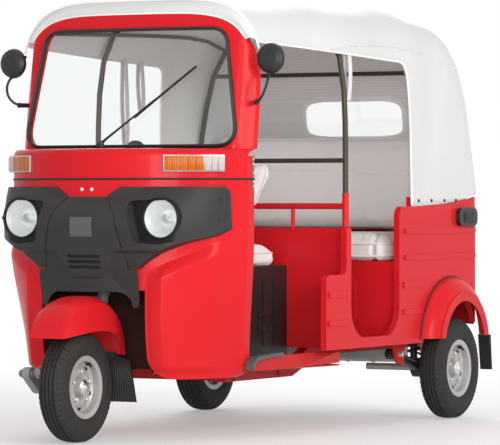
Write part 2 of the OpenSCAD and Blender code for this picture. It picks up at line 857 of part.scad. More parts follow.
// Forehead between the windscreen frame's arch and the hood's first arch
module hood_visor() {
    first = hood_arches[0];
    first_w = body_half_w - first[4];
    reach = 0.925;
    function rise(f) = pow(1 - pow(abs(f), arch_power), 1 / arch_power);
    shares = [for (i = [0:20]) reach * cos(180 * i / 20)];
    low = [for (f = shares)
        let (x = f * frame_half_w, z = window_z0 + rise(f) * (frame_top_z - window_z0) + 1)
        [x, screen_face(x, z) + 6, z]];
    high = [for (f = shares) [f * first_w, first[0] - 0.5, first[1] + rise(f) * (first[3] - first[1])]];
    color(vinyl) from_front_axle()
        grid_solid(
            [low, [for (i = [0:20]) (low[i] + high[i]) / 2 + [0, -10, 5]], high],
            [[for (p = low) p + [0, 8, 0]], [for (i = [0:20]) (low[i] + high[i]) / 2 + [0, 2, -4]],
                [for (p = high) p + [-p[0] * 0.008, 0, -5]]]);
}

// Bow tubes under the cloth: the hoop behind the driver and the rear bow, with their cross bars
module hood_bows() {
    inset = cloth + bow_r + 0.6;
    hoop = hood_arch([hoop_y, quarter_z, hoop_y, hood_arches[2][3], body_half_w - hoop_x - inset, 0], inset);
    rear = hood_arch(hood_arches[6], inset + 8);
    bar = [for (p = rear) if (p[2] > 1385) p][0];
    corner = arch_steps / 4;
    color(tube_brown) from_front_axle() {
        swept_tube(concat([[hoop_x, hoop_y, post_z + seat_gap]], [for (p = hoop) if (p[2] > 900) p],
            [[-hoop_x, hoop_y, post_z + seat_gap]]), [0, 1, 0], bow_r);
        rod([-hoop_x, hoop_y, 1050], [hoop_x, hoop_y, 1050], bow_r - 2);
        swept_tube([for (p = rear) if (p[2] > 912) p], [0, 1, -0.3], bow_r);
        rod([-bar[0], bar[1], bar[2]], bar, bow_r - 2);
        both_sides() swept_tube(
            [for (i = [0:6]) hood_arch(hood_arches[i], inset + (i < 6 ? 0 : 8))[corner]],
            [0, 0, 1], bow_r - 3);
    }
}

module hood_rail() {
    last = hood_arches[len(hood_arches) - 1];
    function plan(inset) =
        let (half = body_half_w - last[4] - inset)
        let (tail = arch(half, last[2] - last[0] - inset, arch_power + last[5]))
        concat([[half, flap_front]], [for (p = tail) [p[0], last[0] + p[1]]], [[-half, flap_front]]);
    open = body_half_w - side_t;
    color(paint) from_front_axle()
        upward(quarter_z + seat_gap, 908) difference() {
            polygon(plan(cloth + 0.5));
            polygon(concat([[open, flap_front - 40]], plan(cloth + 22), [[-open, flap_front - 40]]));
        }
}

// Tail: rear panel, lid, lamps, bumper, mudguards

lid_w = 700;
lid_z0 = 430;
lid_z1 = 742;

module rear_panel() {
    side_end = rear_y - 60 + seat_gap;
    color(paint) from_front_axle() {
        difference() {
            upward(sill_z + 60, quarter_z) difference() {
                rounded(90) translate([-body_half_w, rear_y - 400]) square([2 * body_half_w, 400]);
                rounded(70) translate([20 - body_half_w, rear_y - 420]) square([2 * body_half_w - 40, 400]);
                translate([-body_half_w - 1, side_end - 600]) square([2 * body_half_w + 2, 600]);
            }
            through(rear_y - 100, rear_y + 100)
                translate([0, (lid_z0 + lid_z1) / 2]) rounded_box(lid_w, lid_z1 - lid_z0, 30);
        }
        knuckle(-40, -20.5, hinge_z + 30);
        knuckle(20.5, 40, hinge_z + 30);
        through(rear_y - 4, rear_y + seat_gap + 1)
            for (x = hinge_xs) translate([x - 40, hinge_z + 12]) square([80, 18]);
    }
}

lid_gap = 5;
hinge_y = rear_y + 7;
hinge_z = lid_z1 + 8;
hinge_r = 5;
hinge_xs = [-240, 240];

// Hinge knuckle along X between two offsets from each hinge's middle, with its leaf down or up the panel
module knuckle(x0, x1, leaf_z) {
    for (x = hinge_xs) {
        rod([x + x0, hinge_y, hinge_z], [x + x1, hinge_y, hinge_z], hinge_r);
        across(x + x0, x + x1)
            translate([rear_y + seat_gap, min(leaf_z, hinge_z)]) square([3, abs(leaf_z - hinge_z)]);
    }
}

module engine_lid() {
    color(paint) from_front_axle() {
        difference() {
            through(rear_y - 12, rear_y + seat_gap) translate([0, (lid_z0 + lid_z1) / 2])
                rounded_box(lid_w - 2 * lid_gap, lid_z1 - lid_z0 - 2 * lid_gap, 26);
            for (z = [480, 510, 540, 570])
                through(rear_y - 20, rear_y + 10) translate([0, z]) rounded_box(420, 12, 5);
        }
        knuckle(-20, 20, lid_z1 - 30);
    }
}

module tail_lamps() {
    color("#b01218") from_front_axle() both_sides()
        through(rear_y + seat_gap, rear_y + 26) translate([440, 640]) rounded_box(90, 210, 20);
}

module rear_bumper() {
    color(rubber) from_front_axle()
        across(-430, 430) rounded(16) translate([bumper_y, 296]) square([44, 62]);
}

guard_x = body_half_w + 70;
guard_open_r = 190;
guard_z = 335;

module rear_mudguards() {
    color(paint) from_front_axle() both_sides()
        intersection() {
            about_axle(arch_y, arch_z) rotate_extrude($fn = 120) difference() {
                union() {
                    guard_profile(0);
                    translate([guard_open_r, guard_x - 10]) square([40, 10]);
                }
                guard_profile(4);
                square([guard_open_r, guard_x + 20]);
                square([400, body_half_w + seat_gap]);
            }
            translate([0, arch_y - 400, guard_z]) cube([guard_x + 20, 800, 400]);
        }
}

// Quarter of a rounded dome, inset by a thickness
module guard_profile(inset) {
    polygon(concat([[0, body_half_w - 40]],
        [for (a = [0:9:90]) [guard_open_r + (arch_r - guard_open_r - inset) * cos(a),
            body_half_w + (guard_x - body_half_w - inset) * sin(a)]],
        [[0, guard_x - inset]]));
}

// Rubber flaps hung from the mudguards' rear ends
module rear_flaps() {
    top_y = arch_y + sqrt(pow(arch_r - 4, 2) - pow(guard_z - arch_z, 2));
    color(rubber) from_front_axle() both_sides()
        across(body_half_w + 2, guard_x - 16)
            polygon([[top_y - 18, guard_z - seat_gap], [top_y - 2, guard_z - seat_gap], [top_y + 12, 188],
                [top_y + 6, 188]]);
}

module air_scoops() {
    color(rubber) from_front_axle() both_sides()
        across(body_half_w + seat_gap, body_half_w + 20) rounded(30)
            translate([wheelbase + 50, 788]) square([172, 74]);
}

engine_half_w = 190;

// One plain block at the engine's place, on feet to the chassis rails
module engine() {
    foot = rail_x - rail_half_w - seat_gap;
    color("#8a8c8e") from_front_axle() {
        across(-engine_half_w, engine_half_w) rounded(30)
            translate([wheelbase - 170, 240]) square([400, 320]);
        for (y = [wheelbase - 120, wheelbase + 160]) across(-foot, foot) translate([y, 300]) square([40, 30]);
    }
}

// Running gear

bracket_x = 494;
bracket_y = wheelbase - 360;
arm_pivot = [bracket_x - seat_gap, bracket_y + 50, 272];
arm_r = 22;
hub_x = rear_half_track - 100;
arm_foot = [hub_x - 40, wheelbase, axle_z];

module trailing_arms() {
    color(rubber) from_front_axle() both_sides()
        difference() {
            union() {
                rod(arm_pivot + [-50, 0, 0], arm_pivot, arm_r);
                rod(arm_pivot + [-26, 0, 0], arm_foot, arm_r);
                rod(arm_foot + [-20, 0, 0], arm_foot + [60, 0, 0], 40);
            }
            rod(arm_foot + [-40, 0, 0], arm_foot + [100, 0, 0], shaft_r + shaft_gap);
        }
}

module rear_dampers() {
    seat = arm_foot + 0.24 * (arm_pivot - arm_foot);
    can_z = 400;
    color(rubber) from_front_axle() both_sides()
        difference() {
            translate([seat[0], seat[1], 0]) {
                upward(seat[2], can_z + 20) circle(15);
                upward(can_z, seat_z - 8 - seat_gap) circle(26);
            }
            rod(arm_pivot + [-26, 0, 0], arm_foot, arm_r + seat_gap);
        }
}

module silencer() {
    y = wheelbase + 292;
    color(steel) from_front_axle() {
        rod([-160, y, 258], [220, y, 258], 50);
        rod([200, y, 298], [rail_x - rail_half_w - seat_gap, y, 298], 9);
        rod([-120, y - 30, 258], [-120, wheelbase + 230 + seat_gap, 258], 18);
    }
}

// Steering

module steering_frame() { translate([0, axis_ground_y, 0]) rotate([-rake, 0, 0]) children(); }

fork_x = -122;
column_r = 22;

crown_z = 556;
bar_h = bar_z / cos(rake);

module steering_fork() {
    color("#8d9094") from_front_axle() steering_frame() {
        translate([0, 0, crown_z]) cylinder(h = bar_h - crown_z - 30 - seat_gap, r = column_r);
        swept_tube(concat(
            bezier([[10, 0, crown_z + 14], [fork_x - 6, 0, crown_z + 14], [fork_x, 0, crown_z - 90]]),
            bezier([[fork_x, 0, crown_z - 180], [fork_x, 0, 330], [fork_x, -128, 222]])),
            [0, 1, 0.05], fork_r, 14);
    }
}

module handlebar() {
    color(rubber) from_front_axle() steering_frame() {
        translate([0, 0, bar_h - 30]) cylinder(h = 60, r = 34);
        swept_tube(concat(
            bezier([[-bar_half_w, 70, bar_h - 20], [-160, 10, bar_h + 12], [0, 0, bar_h + 6]]),
            bezier([[30, 0, bar_h + 6], [160, 10, bar_h + 12], [bar_half_w, 70, bar_h - 20]])),
            [0, 0, 1], 15, 12);
    }
}

link_y = -66;
link_z = 254;
fork_r = 20;

// Trailing link with its pivot at the fork's foot and the stub axle
module front_link() {
    color(steel) from_front_axle() {
        across(fork_x - fork_r - 36, fork_x - fork_r - 6) hull() {
            translate([link_y, link_z]) circle(24);
            translate([0, axle_z]) circle(28);
        }
        rod([fork_x - fork_r - 44, link_y, link_z], [fork_x - fork_r - seat_gap, link_y, link_z], 13);
        rod([fork_x - fork_r - 40, 0, axle_z], [20, 0, axle_z], shaft_r);
    }
}

guard_t = 4;
guard_r = 217;
guard_mid_z = 325;
guard_front_y = -1.3;
guard_back_y = 38;
guard_end_z = 318;
stay = [150, 418];

// Sections of the mudguard from the middle of its crown outwards: distance below the crown, half width
// The first is at the tip, flat with a sharp crease, the second from the top of the wheel back
tip_section = [[0, 0], [0, 25], [0, 50], [0, 66], [2, 76], [30, 78], [130, 80]];
crown_section = [[0, 0], [1, 25], [4, 44], [12, 62], [26, 78], [60, 82], [130, 84]];

// One row of the mudguard's skin at an angle above the rear horizontal
function guard_row(a, inset) =
    let (back = ease((170 - a) / 85))
    let (half = [for (i = [0:6]) tip_section[i] + (crown_section[i] - tip_section[i]) * back])
    let (points = concat([for (i = [6:-1:1]) half[i]], [for (p = half) [p[0], -p[1]]]))
    [for (p = points)
        let (r = guard_r - p[0] - inset, x = p[1] - sign(p[1]) * min(inset, abs(p[1]) / 8))
        [x, (a > 90 ? guard_front_y : guard_back_y) + r * cos(a), guard_mid_z + r * sin(a)]];

module front_mudguard() {
    tip_z = guard_mid_z + sqrt(guard_r * guard_r - pow(front_overhang + guard_front_y, 2));
    angles = [for (r = [[for (a = [200:-6:92]) a], [90.01, 90], [for (a = [84:-6:-18]) a]]) each r];
    color(paint) from_front_axle() {
        intersection() {
            grid_solid([for (a = angles) guard_row(a, 0)], [for (a = angles) guard_row(a, guard_t)]);
            across(-200, 200) polygon([[-400, tip_z], [-front_overhang, tip_z], [-32, tip_z + 18],
                [60, tip_z + 22], [120, tip_z + 15], [169, tip_z - 4], [204, tip_z - 38],
                [216, guard_end_z], [400, guard_end_z], [400, 700], [-400, 700]]);
        }
        rod([fork_x + fork_r + seat_gap, stay[0], stay[1]], [-81, stay[0], stay[1]], 8);
    }
}

flap_y = guard_back_y + guard_r - guard_t - 5.1;
flap_z = guard_end_z + 9;

// Rubber flap hung inside the mudguard's rear end, wider towards its foot
module front_flap() {
    color(rubber) from_front_axle()
        translate([0, flap_y, flap_z]) rotate([4, 0, 0]) through(-2.5, 2.5)
            polygon([[-24, 0], [24, 0], [26, -14], [90, -30], [124, -187],
                [-124, -187], [-90, -30], [-26, -14]]);
}

// Wheels

rim_half_w = 45;
bead_r = rim_r - 15.5;

// Tyre section (radius, offset from the middle plane), its beads between the rim's flanges
module tyre_profile() {
    half = tyre_w / 2;
    flank = [[bead_r + 0.5, rim_half_w - 9], [rim_r + 0.6, rim_half_w - 5], [rim_r + 1, rim_half_w + 1],
        [rim_r + 30, half], [tyre_r - 34, half - 2], [tyre_r - 12, half - 12], [tyre_r - 2, half - 28]];
    polygon(concat([for (p = flank) [p[0], -p[1]]], [[tyre_r, 0]], [for (i = [6:-1:0]) flank[i]]));
}

module tyre() {
    color(rubber) rotate([0, 90, 0]) rotate_extrude($fn = 90) tyre_profile();
}

drum_x = 38;
cap_x = 34;

// Pressed steel wheel with its brake drum and hub, outer face towards +X
module rim(shaft_length) {
    well = bead_r - 13;
    outside = [[rim_r, -rim_half_w], [rim_r, -rim_half_w + 4], [bead_r, -rim_half_w + 7], [bead_r - 1.5, -15],
        [well, -8], [well, 8], [bead_r - 1.5, 15], [bead_r, rim_half_w - 7], [rim_r, rim_half_w - 4],
        [rim_r, rim_half_w]];
    face = [[bead_r - 4, rim_half_w - 3], [bead_r - 6, 18], [well - 4, 11], [70, 20], [50, 22], [34, 12],
        [31, cap_x], [0, cap_x]];
    back = [[66, -drum_x], [70, -drum_x + 4], [72, 4], [well - 4, 3], [well - 4, -11], [bead_r - 6, -18],
        [bead_r - 4, -rim_half_w + 3]];
    shaft = shaft_length > 0
        ? [[0, -shaft_length], [shaft_r, -shaft_length], [shaft_r, -drum_x]]
        : [[0, -drum_x]];
    color(steel) rotate([0, 90, 0]) difference() {
        rotate_extrude($fn = 90) polygon(concat(outside, face, shaft, back));
        if (shaft_length == 0)
            translate([0, 0, -drum_x - 1]) cylinder(h = drum_x + 24, r = shaft_r + shaft_gap);
    }
}

module front_tyre() { from_front_axle() translate([0, 0, axle_z]) tyre(); }

module front_rim() { from_front_axle() translate([0, 0, axle_z]) rim(0); }

module rear_left_tyre() { from_front_axle() translate([rear_half_track, wheelbase, axle_z]) tyre(); }

module rear_right_tyre() { mirror([1, 0, 0]) rear_left_tyre(); }

module rear_left_rim() {
    from_front_axle() translate([rear_half_track, wheelbase, axle_z])
        rim(rear_half_track - engine_half_w - 8);
}

module rear_right_rim() { mirror([1, 0, 0]) rear_left_rim(); }

front_shield();
front_wheel_well();
front_cowl();
windscreen_frame();
windscreen_gasket();
windscreen_glass();
fascia_centre();
fascia_sides();
headlamp_bowls();
headlamp_lenses();
front_indicators();
wiper();
mirrors();
dashboard();
driver_floor();
foot_rail();
chassis_rails();
passenger_floor();
partition();
driver_seat_box();
driver_cushion();
driver_backrest();
side_panel_left();
side_panel_right();
seat_box();
passenger_cushion();
passenger_backrest();
hood_bows();
hood_rail();
hood();
hood_visor();
rear_window();
rear_panel();
engine_lid();
tail_lamps();
rear_bumper();
rear_mudguards();
rear_flaps();
air_scoops();
engine();
trailing_arms();
rear_dampers();
silencer();
steering_fork();
handlebar();
front_link();
front_mudguard();
front_flap();
front_tyre();
front_rim();
rear_left_tyre();
rear_left_rim();
rear_right_tyre();
rear_right_rim();
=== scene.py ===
import math

import bpy
import numpy as np
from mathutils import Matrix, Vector, noise
from mathutils.bvhtree import BVHTree


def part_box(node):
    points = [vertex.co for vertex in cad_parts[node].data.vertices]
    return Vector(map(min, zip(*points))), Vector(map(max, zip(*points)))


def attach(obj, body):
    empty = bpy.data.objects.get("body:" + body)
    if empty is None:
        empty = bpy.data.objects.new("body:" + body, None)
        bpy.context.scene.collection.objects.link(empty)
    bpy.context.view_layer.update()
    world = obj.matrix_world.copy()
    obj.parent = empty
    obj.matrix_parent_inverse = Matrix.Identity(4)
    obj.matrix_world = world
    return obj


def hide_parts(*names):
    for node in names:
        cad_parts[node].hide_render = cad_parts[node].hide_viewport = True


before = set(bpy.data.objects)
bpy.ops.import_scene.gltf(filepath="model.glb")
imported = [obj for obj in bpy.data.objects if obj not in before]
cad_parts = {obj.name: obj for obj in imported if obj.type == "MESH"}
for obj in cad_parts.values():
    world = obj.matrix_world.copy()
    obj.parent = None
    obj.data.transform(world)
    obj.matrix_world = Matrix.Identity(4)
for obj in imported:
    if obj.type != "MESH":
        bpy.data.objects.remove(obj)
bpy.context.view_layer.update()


# Studio floor, light and camera.
# A pale floor runs to the horizon under a white sky; a broad lamp stands on the camera's right, a
# softer one beside the camera, one hangs over the roof and one stands behind the tail.
class Value:
    """A shader socket that takes part in Python expressions."""

    def __init__(self, tree, socket):
        self.tree, self.socket = tree, socket

    def math(self, operation, a, b):
        node = self.tree.nodes.new("ShaderNodeMath")
        node.operation = operation
        for slot, v in zip(node.inputs, (a, b)):
            if isinstance(v, Value):
                self.tree.links.new(v.socket, slot)
            else:
                slot.default_value = v
        return Value(self.tree, node.outputs[0])

    def __add__(self, other):
        return self.math("ADD", self, other)

    def __radd__(self, other):
        return self.math("ADD", other, self)

    def __sub__(self, other):
        return self.math("SUBTRACT", self, other)

    def __rsub__(self, other):
        return self.math("SUBTRACT", other, self)

    def __mul__(self, other):
        return self.math("MULTIPLY", self, other)

    def __rmul__(self, other):
        return self.math("MULTIPLY", other, self)

    def __truediv__(self, other):
        return self.math("DIVIDE", self, other)

    def __rtruediv__(self, other):
        return self.math("DIVIDE", other, self)

    def __mod__(self, other):
        return self.math("FLOORED_MODULO", self, other)

    def __pow__(self, other):
        return self.math("POWER", self, other)

    def __gt__(self, other):
        return self.math("GREATER_THAN", self, other)

    def __lt__(self, other):
        return self.math("LESS_THAN", self, other)


class Finish:
    """One material: plain values sit on its shader, what varies over the surface is linked."""

    def __init__(self, name, **plain):
        self.material = bpy.data.materials.new(name)
        self.material.use_nodes = True
        self.tree = self.material.node_tree
        self.shader = self.tree.nodes["Principled BSDF"]
        self.output = self.tree.nodes["Material Output"]
        for socket, value in plain.items():
            self.shader.inputs[socket.replace("_", " ")].default_value = value

    def node(self, kind, settings=None, sockets=None, out=0):
        made = self.tree.nodes.new("ShaderNode" + kind)
        for key, value in (settings or {}).items():
            setattr(made, key, value)
        for key, value in (sockets or {}).items():
            if isinstance(value, Value):
                self.tree.links.new(value.socket, made.inputs[key])
            else:
                made.inputs[key].default_value = value
        return Value(self.tree, made.outputs[out])

    def link(self, socket, value):
        self.tree.links.new(value.socket, self.shader.inputs[socket])

    def surface(self, value):
        self.tree.links.new(value.socket, self.output.inputs["Surface"])

    def place(self, kind="Object"):
        return self.node("TexCoord", out=kind)

    def axis(self, letter, kind="Object"):
        return self.node("SeparateXYZ", sockets={"Vector": self.place(kind)}, out=letter)

    def noise(self, scale, detail=2.0, stretch=None):
        where = self.place()
        if stretch:
            where = self.node("VectorMath", {"operation": "MULTIPLY"}, {0: where, 1: stretch})
        return self.node("TexNoise", sockets={"Vector": where, "Scale": scale, "Detail": detail})

    def cells(self, scale):
        return self.node("TexVoronoi", sockets={"Vector": self.place(), "Scale": scale})

    def ramp(self, value, low, high):
        return self.node("MapRange", {"clamp": True}, {"Value": value, "From Min": low, "From Max": high})

    def mix(self, factor, a, b):
        a, b = (v if isinstance(v, Value) else (*v, 1) for v in (a, b))
        return self.node("Mix", {"data_type": "RGBA"}, {0: factor, 6: a, 7: b}, out=2)

    def waves(self, direction, scale):
        return self.node("TexWave", {"bands_direction": direction}, {"Vector": self.place(), "Scale": scale})

    def toned(self, mask, dark, light, rough=None):
        """Colour, and roughness where it is given as (least, spread), follow a mask."""
        self.link("Base Color", self.mix(mask, dark, light))
        if rough:
            self.link("Roughness", rough[0] + mask * rough[1])

    def bump(self, height, strength, distance):
        sockets = {"Height": height, "Strength": strength, "Distance": distance}
        self.link("Normal", self.node("Bump", sockets=sockets))


pale = Finish("pale_floor", Roughness=0.8)
grain = pale.noise(30.0)
pale.toned(grain, (0.85, 0.85, 0.85), (0.87, 0.87, 0.87), (0.75, 0.1))
seen = sum((pale.node("LightPath", out=f"Is {kind} Ray") for kind in ("Glossy", "Transmission")),
           pale.node("LightPath", out="Is Camera Ray"))
glow = pale.node("Emission", sockets={"Color": (1, 1, 1, 1), "Strength": 1.0})
east, north = (pale.axis(letter) for letter in "XY")
least_glow, glow_starts, glow_full = 0.3, 2.4, 9.0
away = pale.ramp((east * east + north * north) ** 0.5, glow_starts, glow_full)
fade = least_glow + (1 - least_glow) * away
matt = Value(pale.tree, pale.shader.outputs[0])
pale.surface(pale.node("MixShader", sockets={0: seen * fade, 1: matt, 2: glow}))
floor_half = 1500.0
floor_mesh = bpy.data.meshes.new("studio_floor")
floor_corners = [(x * floor_half, y * floor_half, 0) for x, y in ((-1, -1), (1, -1), (1, 1), (-1, 1))]
floor_mesh.from_pydata(floor_corners, [], [(0, 1, 2, 3)])
floor_mesh.materials.append(pale.material)
floor = bpy.data.objects.new("studio_floor", floor_mesh)
scene = bpy.context.scene
scene.collection.objects.link(floor)

scene.view_settings.view_transform = "Standard"
sky = bpy.data.worlds.new("studio_sky")
scene.world = sky
sky.use_nodes = True
shine, path = sky.node_tree.nodes["Background"], sky.node_tree.nodes.new("ShaderNodeLightPath")
direct = sum((Value(sky.node_tree, path.outputs[f"Is {kind} Ray"]) for kind in ("Glossy", "Transmission")),
             Value(sky.node_tree, path.outputs["Is Camera Ray"]))
sky_level = 0.56
sky.node_tree.links.new((sky_level + direct * (1 - sky_level)).socket, shine.inputs["Strength"])
shine.inputs["Color"].default_value = (1, 1, 1, 1)
for name, place, size, watts in (
        ("key_lamp", (8.3, -3.4, 3.4), 4.0, 440), ("front_lamp", (4.0, -8.4, 1.6), 3.0, 290),
        ("top_lamp", (0.3, 0.5, 6.5), 4.5, 30), ("back_lamp", (-3.5, 7.0, 4.0), 4.0, 220)):
    lamp = bpy.data.lights.new(name, "AREA")
    lamp.size, lamp.energy = size, watts
    holder = bpy.data.objects.new(name, lamp)
    holder.location = place
    holder.rotation_euler = (Vector((0, 0, 0.8)) - Vector(place)).to_track_quat("-Z", "Y").to_euler()
    scene.collection.objects.link(holder)

front_axle = float(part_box("front_tyre")[0][1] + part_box("front_tyre")[1][1]) / 2


def spot(x, y, z):
    """A point given by its distance behind the front axle."""
    return np.array((x, front_axle + y, z))


eye = bpy.data.cameras.new("camera")
eye.sensor_width, eye.lens, eye.clip_end = 36, 257.6, 4000
camera = bpy.data.objects.new("camera", eye)
camera.location = spot(6.909, -11.297, 0.909)
aim = Vector(spot(-0.071, 1.474, 0.804))
camera.rotation_euler = (aim - camera.location).to_track_quat("-Z", "Y").to_euler()
scene.collection.objects.link(camera)
scene.camera = camera


# Pressed steel body.
# Sheet steel pressings, spot welded and sprayed in one glossy red coat: shield, cowl, windscreen
# frame, side panels, tail, mudguards, floors, rails, partition and seat box.
def red_finish(name, dust, gloss):
    """The body's red paint, with road dust low down."""
    red = Finish(name, Roughness=0.3, Specular_IOR_Level=0.09, Coat_Weight=gloss, Coat_Roughness=0.05)
    cloud = red.noise(3.0)
    low = red.ramp(red.axis("Z"), 0.55, 0.18)
    speck = red.noise(60.0, 4.0)
    paint = red.mix(cloud, (0.57, 0.010, 0.016), (0.635, 0.015, 0.022))
    red.link("Base Color", red.mix(low * speck * dust, paint, (0.16, 0.05, 0.035)))
    red.link("Roughness", 0.26 + cloud * 0.08 + low * 0.2 * dust)
    red.bump(red.noise(420.0), 0.02, 0.001)
    return red


def dress(finish, *names):
    """Gives solids a finish."""
    for name in names:
        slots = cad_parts[name].data.materials
        slots.clear()
        slots.append(finish.material)


def smooth(*names, angle=32):
    """Shades solids smooth up to an angle between faces."""
    for name in names:
        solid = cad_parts[name]
        solid.data.polygons.foreach_set("use_smooth", [True] * len(solid.data.polygons))
        weld = solid.modifiers.new("weld", "WELD")
        weld.merge_threshold = 0.00002
        split = solid.modifiers.new("split", "EDGE_SPLIT")
        split.split_angle = math.radians(angle)


body_red = red_finish("body_red", 0.2, 0.06)
dress(body_red, "side_panel_left", "side_panel_right", "rear_panel",
      "engine_lid", "rear_mudguards", "front_mudguard", "hood_rail", "partition", "seat_box")
under_red = red_finish("underbody_red", 0.9, 0.05)
dress(under_red, "chassis_rails", "passenger_floor")
smooth("side_panel_left", "side_panel_right", "rear_mudguards",
       "front_mudguard", "rear_panel", "partition", "hood_rail")
# Painted shade: the front wheel well is given a near-black brown in place of the shadow that fills it.
wheel_well_shade = Finish("wheel_well_shade", Roughness=0.8, Specular_IOR_Level=0.2)
well_shade_mottle = wheel_well_shade.noise(9.0, 4.0)
wheel_well_shade.toned(well_shade_mottle, (0.018, 0.006, 0.005), (0.05, 0.014, 0.011))
wheel_well_shade.bump(wheel_well_shade.noise(160.0, 4.0), 0.5, 0.002)
dress(wheel_well_shade, "front_wheel_well")


# Bowed nose.
# One deep steel pressing with two padded leg shields below, the cowl that is flanged on to it and the
# front of the driver's floor; the sides are drawn in and back towards the foot.
def add_piece(name, parts, finish, slot, body="body", smooth_faces=True, stands_for=None):
    """One object from several (points, faces) parts; stands_for names the solid whose place it takes."""
    points, faces = [], []
    for part_points, part_faces in parts:
        faces += [tuple(i + len(points) for i in face) for face in part_faces]
        points += [tuple(float(v) for v in p) for p in part_points]
    mesh = bpy.data.meshes.new(name)
    mesh.from_pydata(points, [], faces)
    mesh.validate()
    mesh.materials.append(finish.material)
    made = bpy.data.objects.new(name, mesh)
    scene.collection.objects.link(made)
    if smooth_faces:
        mesh.polygons.foreach_set("use_smooth", [True] * len(mesh.polygons))
        split = made.modifiers.new("split", "EDGE_SPLIT")
        split.split_angle = math.radians(38)
    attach(made, body)
    if stands_for:
        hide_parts(stands_for)
    return made


def sleeve(rings, closed_path=False):
    """Faces over rings of points that have the same count each, capped unless the rings close up."""
    n, sides = len(rings), len(rings[0])
    faces = []
    for i in range(n if closed_path else n - 1):
        a, b = i * sides, (i + 1) % n * sides
        faces += [(a + j, a + (j + 1) % sides, b + (j + 1) % sides, b + j) for j in range(sides)]
    if not closed_path:
        faces += [tuple(range(sides))[::-1], tuple(range((n - 1) * sides, n * sides))]
    return [p for ring in rings for p in ring], faces


def shell(outer, inner, keep=None):
    """A closed sheet between two grids of points; keep(i, j) tells the cells that are there."""
    outer, inner = np.array(outer), np.array(inner)
    m, k = outer.shape[:2]
    quads = [(i * k + j, i * k + j + 1, (i + 1) * k + j + 1, (i + 1) * k + j)
             for i in range(m - 1) for j in range(k - 1) if keep is None or keep(i, j)]
    used = sorted({v for quad in quads for v in quad})
    index = {v: at for at, v in enumerate(used)}
    quads = [tuple(index[v] for v in quad) for quad in quads]
    edges = {(a, b) for quad in quads for a, b in zip(quad, quad[1:] + quad[:1])}
    n = len(used)
    faces = quads + [tuple(v + n for v in quad[::-1]) for quad in quads]
    faces += [(b, a, a + n, b + n) for a, b in sorted(edges) if (b, a) not in edges]
    points = np.vstack([sheet.reshape(-1, 3)[used] for sheet in (outer, inner)])
    f = np.array(faces)
    a, b, c, d = (points[f[:, at]] for at in range(4))
    if np.einsum("ij,ij->", a, np.cross(b, c) + np.cross(c, d)) < 0:
        faces = [face[::-1] for face in faces]
    return points, faces


def tube(path, radius, sides=10, closed=False, wide=1.0):
    """A round or, with wide, flattened bar along points, its rings turned with the path."""
    path = np.array(path, float)
    n = len(path)
    ahead = np.roll(path, -1, 0) - np.roll(path, 1, 0)
    if not closed:
        ahead[0], ahead[-1] = path[1] - path[0], path[-1] - path[-2]
    ahead /= np.linalg.norm(ahead, axis=1)[:, None]
    side = np.cross(ahead[0], (0, 0, 1) if abs(ahead[0][2]) < 0.9 else (0, 1, 0))
    radii = np.broadcast_to(radius, n)
    rings = []
    for k in range(n):
        side = side - ahead[k] * side.dot(ahead[k])
        side /= np.linalg.norm(side)
        top = np.cross(side, ahead[k])
        turn = [2 * math.pi * j / sides for j in range(sides)]
        rings.append([path[k] + radii[k] * (wide * math.cos(a) * side + math.sin(a) * top) for a in turn])
    return sleeve(rings, closed)


def turned(profile, middle, axis, sides=24, hollow=False):
    """A profile of (distance along the axis, radius) turned about it, a ring if it is hollow."""
    axis = np.array(axis, float) / np.linalg.norm(axis)
    side = np.cross(axis, (0, 0, 1) if abs(axis[2]) < 0.9 else (0, 1, 0))
    side /= np.linalg.norm(side)
    top = np.cross(axis, side)
    turn = [2 * math.pi * j / sides for j in range(sides)]
    spokes = [math.cos(a) * side + math.sin(a) * top for a in turn]
    rings = [[np.array(middle) + along * axis + radius * spoke for spoke in spokes]
             for along, radius in profile]
    return sleeve(rings, closed_path=hollow)


def screw(middle, axis, radius):
    """A domed head with a recess."""
    profile = ((-0.2, 1), (0.25, 1), (0.5, 0.75), (0.55, 0.4), (0.25, 0.34), (0.24, 0.01))
    return turned([(along * radius, wide * radius) for along, wide in profile], middle, axis, 16)


def nut(middle, axis, radius, height):
    """A hexagon nut on a washer with the stud's end in it."""
    axis = np.array(axis, float)
    washer = turned([(0, 1.25 * radius), (0.12 * height, 1.25 * radius)], middle, axis, 24)
    hexagon = turned([(0.12 * height, radius), (0.9 * height, radius), (height, 0.85 * radius)],
                     middle, axis, 6)
    stud = turned([(height, 0.5 * radius), (1.3 * height, 0.48 * radius)], middle, axis, 16)
    return [washer, hexagon, stud]


def slab(outline, low, high, placed):
    """An outline of (u, v) between two depths, set in space by placed(u, v, depth), with a small bevel."""
    outline = np.array(outline, float)
    middle = outline.mean(0)
    bevel = min(0.0012, 0.4 * abs(high - low))
    inner = middle + (outline - middle) * (1 - bevel / np.abs(outline - middle).max())
    rings = [[placed(u, v, d) for u, v in ring]
             for ring, d in ((outline, low), (outline, high - bevel * np.sign(high - low)), (inner, high))]
    return sleeve(rings)


def rounded_corners(width, height, radius, steps=5):
    """The outline of a rectangle with round corners, about its middle."""
    outline = []
    for sx, sy, start in ((1, 1, 0), (-1, 1, 90), (-1, -1, 180), (1, -1, 270)):
        for a in np.radians(np.linspace(start, start + 90, steps)):
            outline.append((sx * (width / 2 - radius) + radius * math.cos(a),
                            sy * (height / 2 - radius) + radius * math.sin(a)))
    return outline


nose_middle, nose_radius = 0.691, 0.611
cab_half, jamb = 0.527, 0.438
seam_level = 0.975


def nose_face(x):
    """Distance of the bowed nose behind the front axle."""
    return nose_middle - math.sqrt(nose_radius ** 2 - x ** 2)


def nose_normal(x):
    """The direction out of the bowed nose."""
    return np.array((x, nose_face(x) - nose_middle, 0)) / nose_radius


def ease(t):
    """A smooth step from 0 to 1."""
    t = min(1.0, max(0.0, t))
    return t * t * (3 - 2 * t)


cowl_in, cowl_back, foot_in, foot_back = 0.023, 0.016, 0.050, 0.055


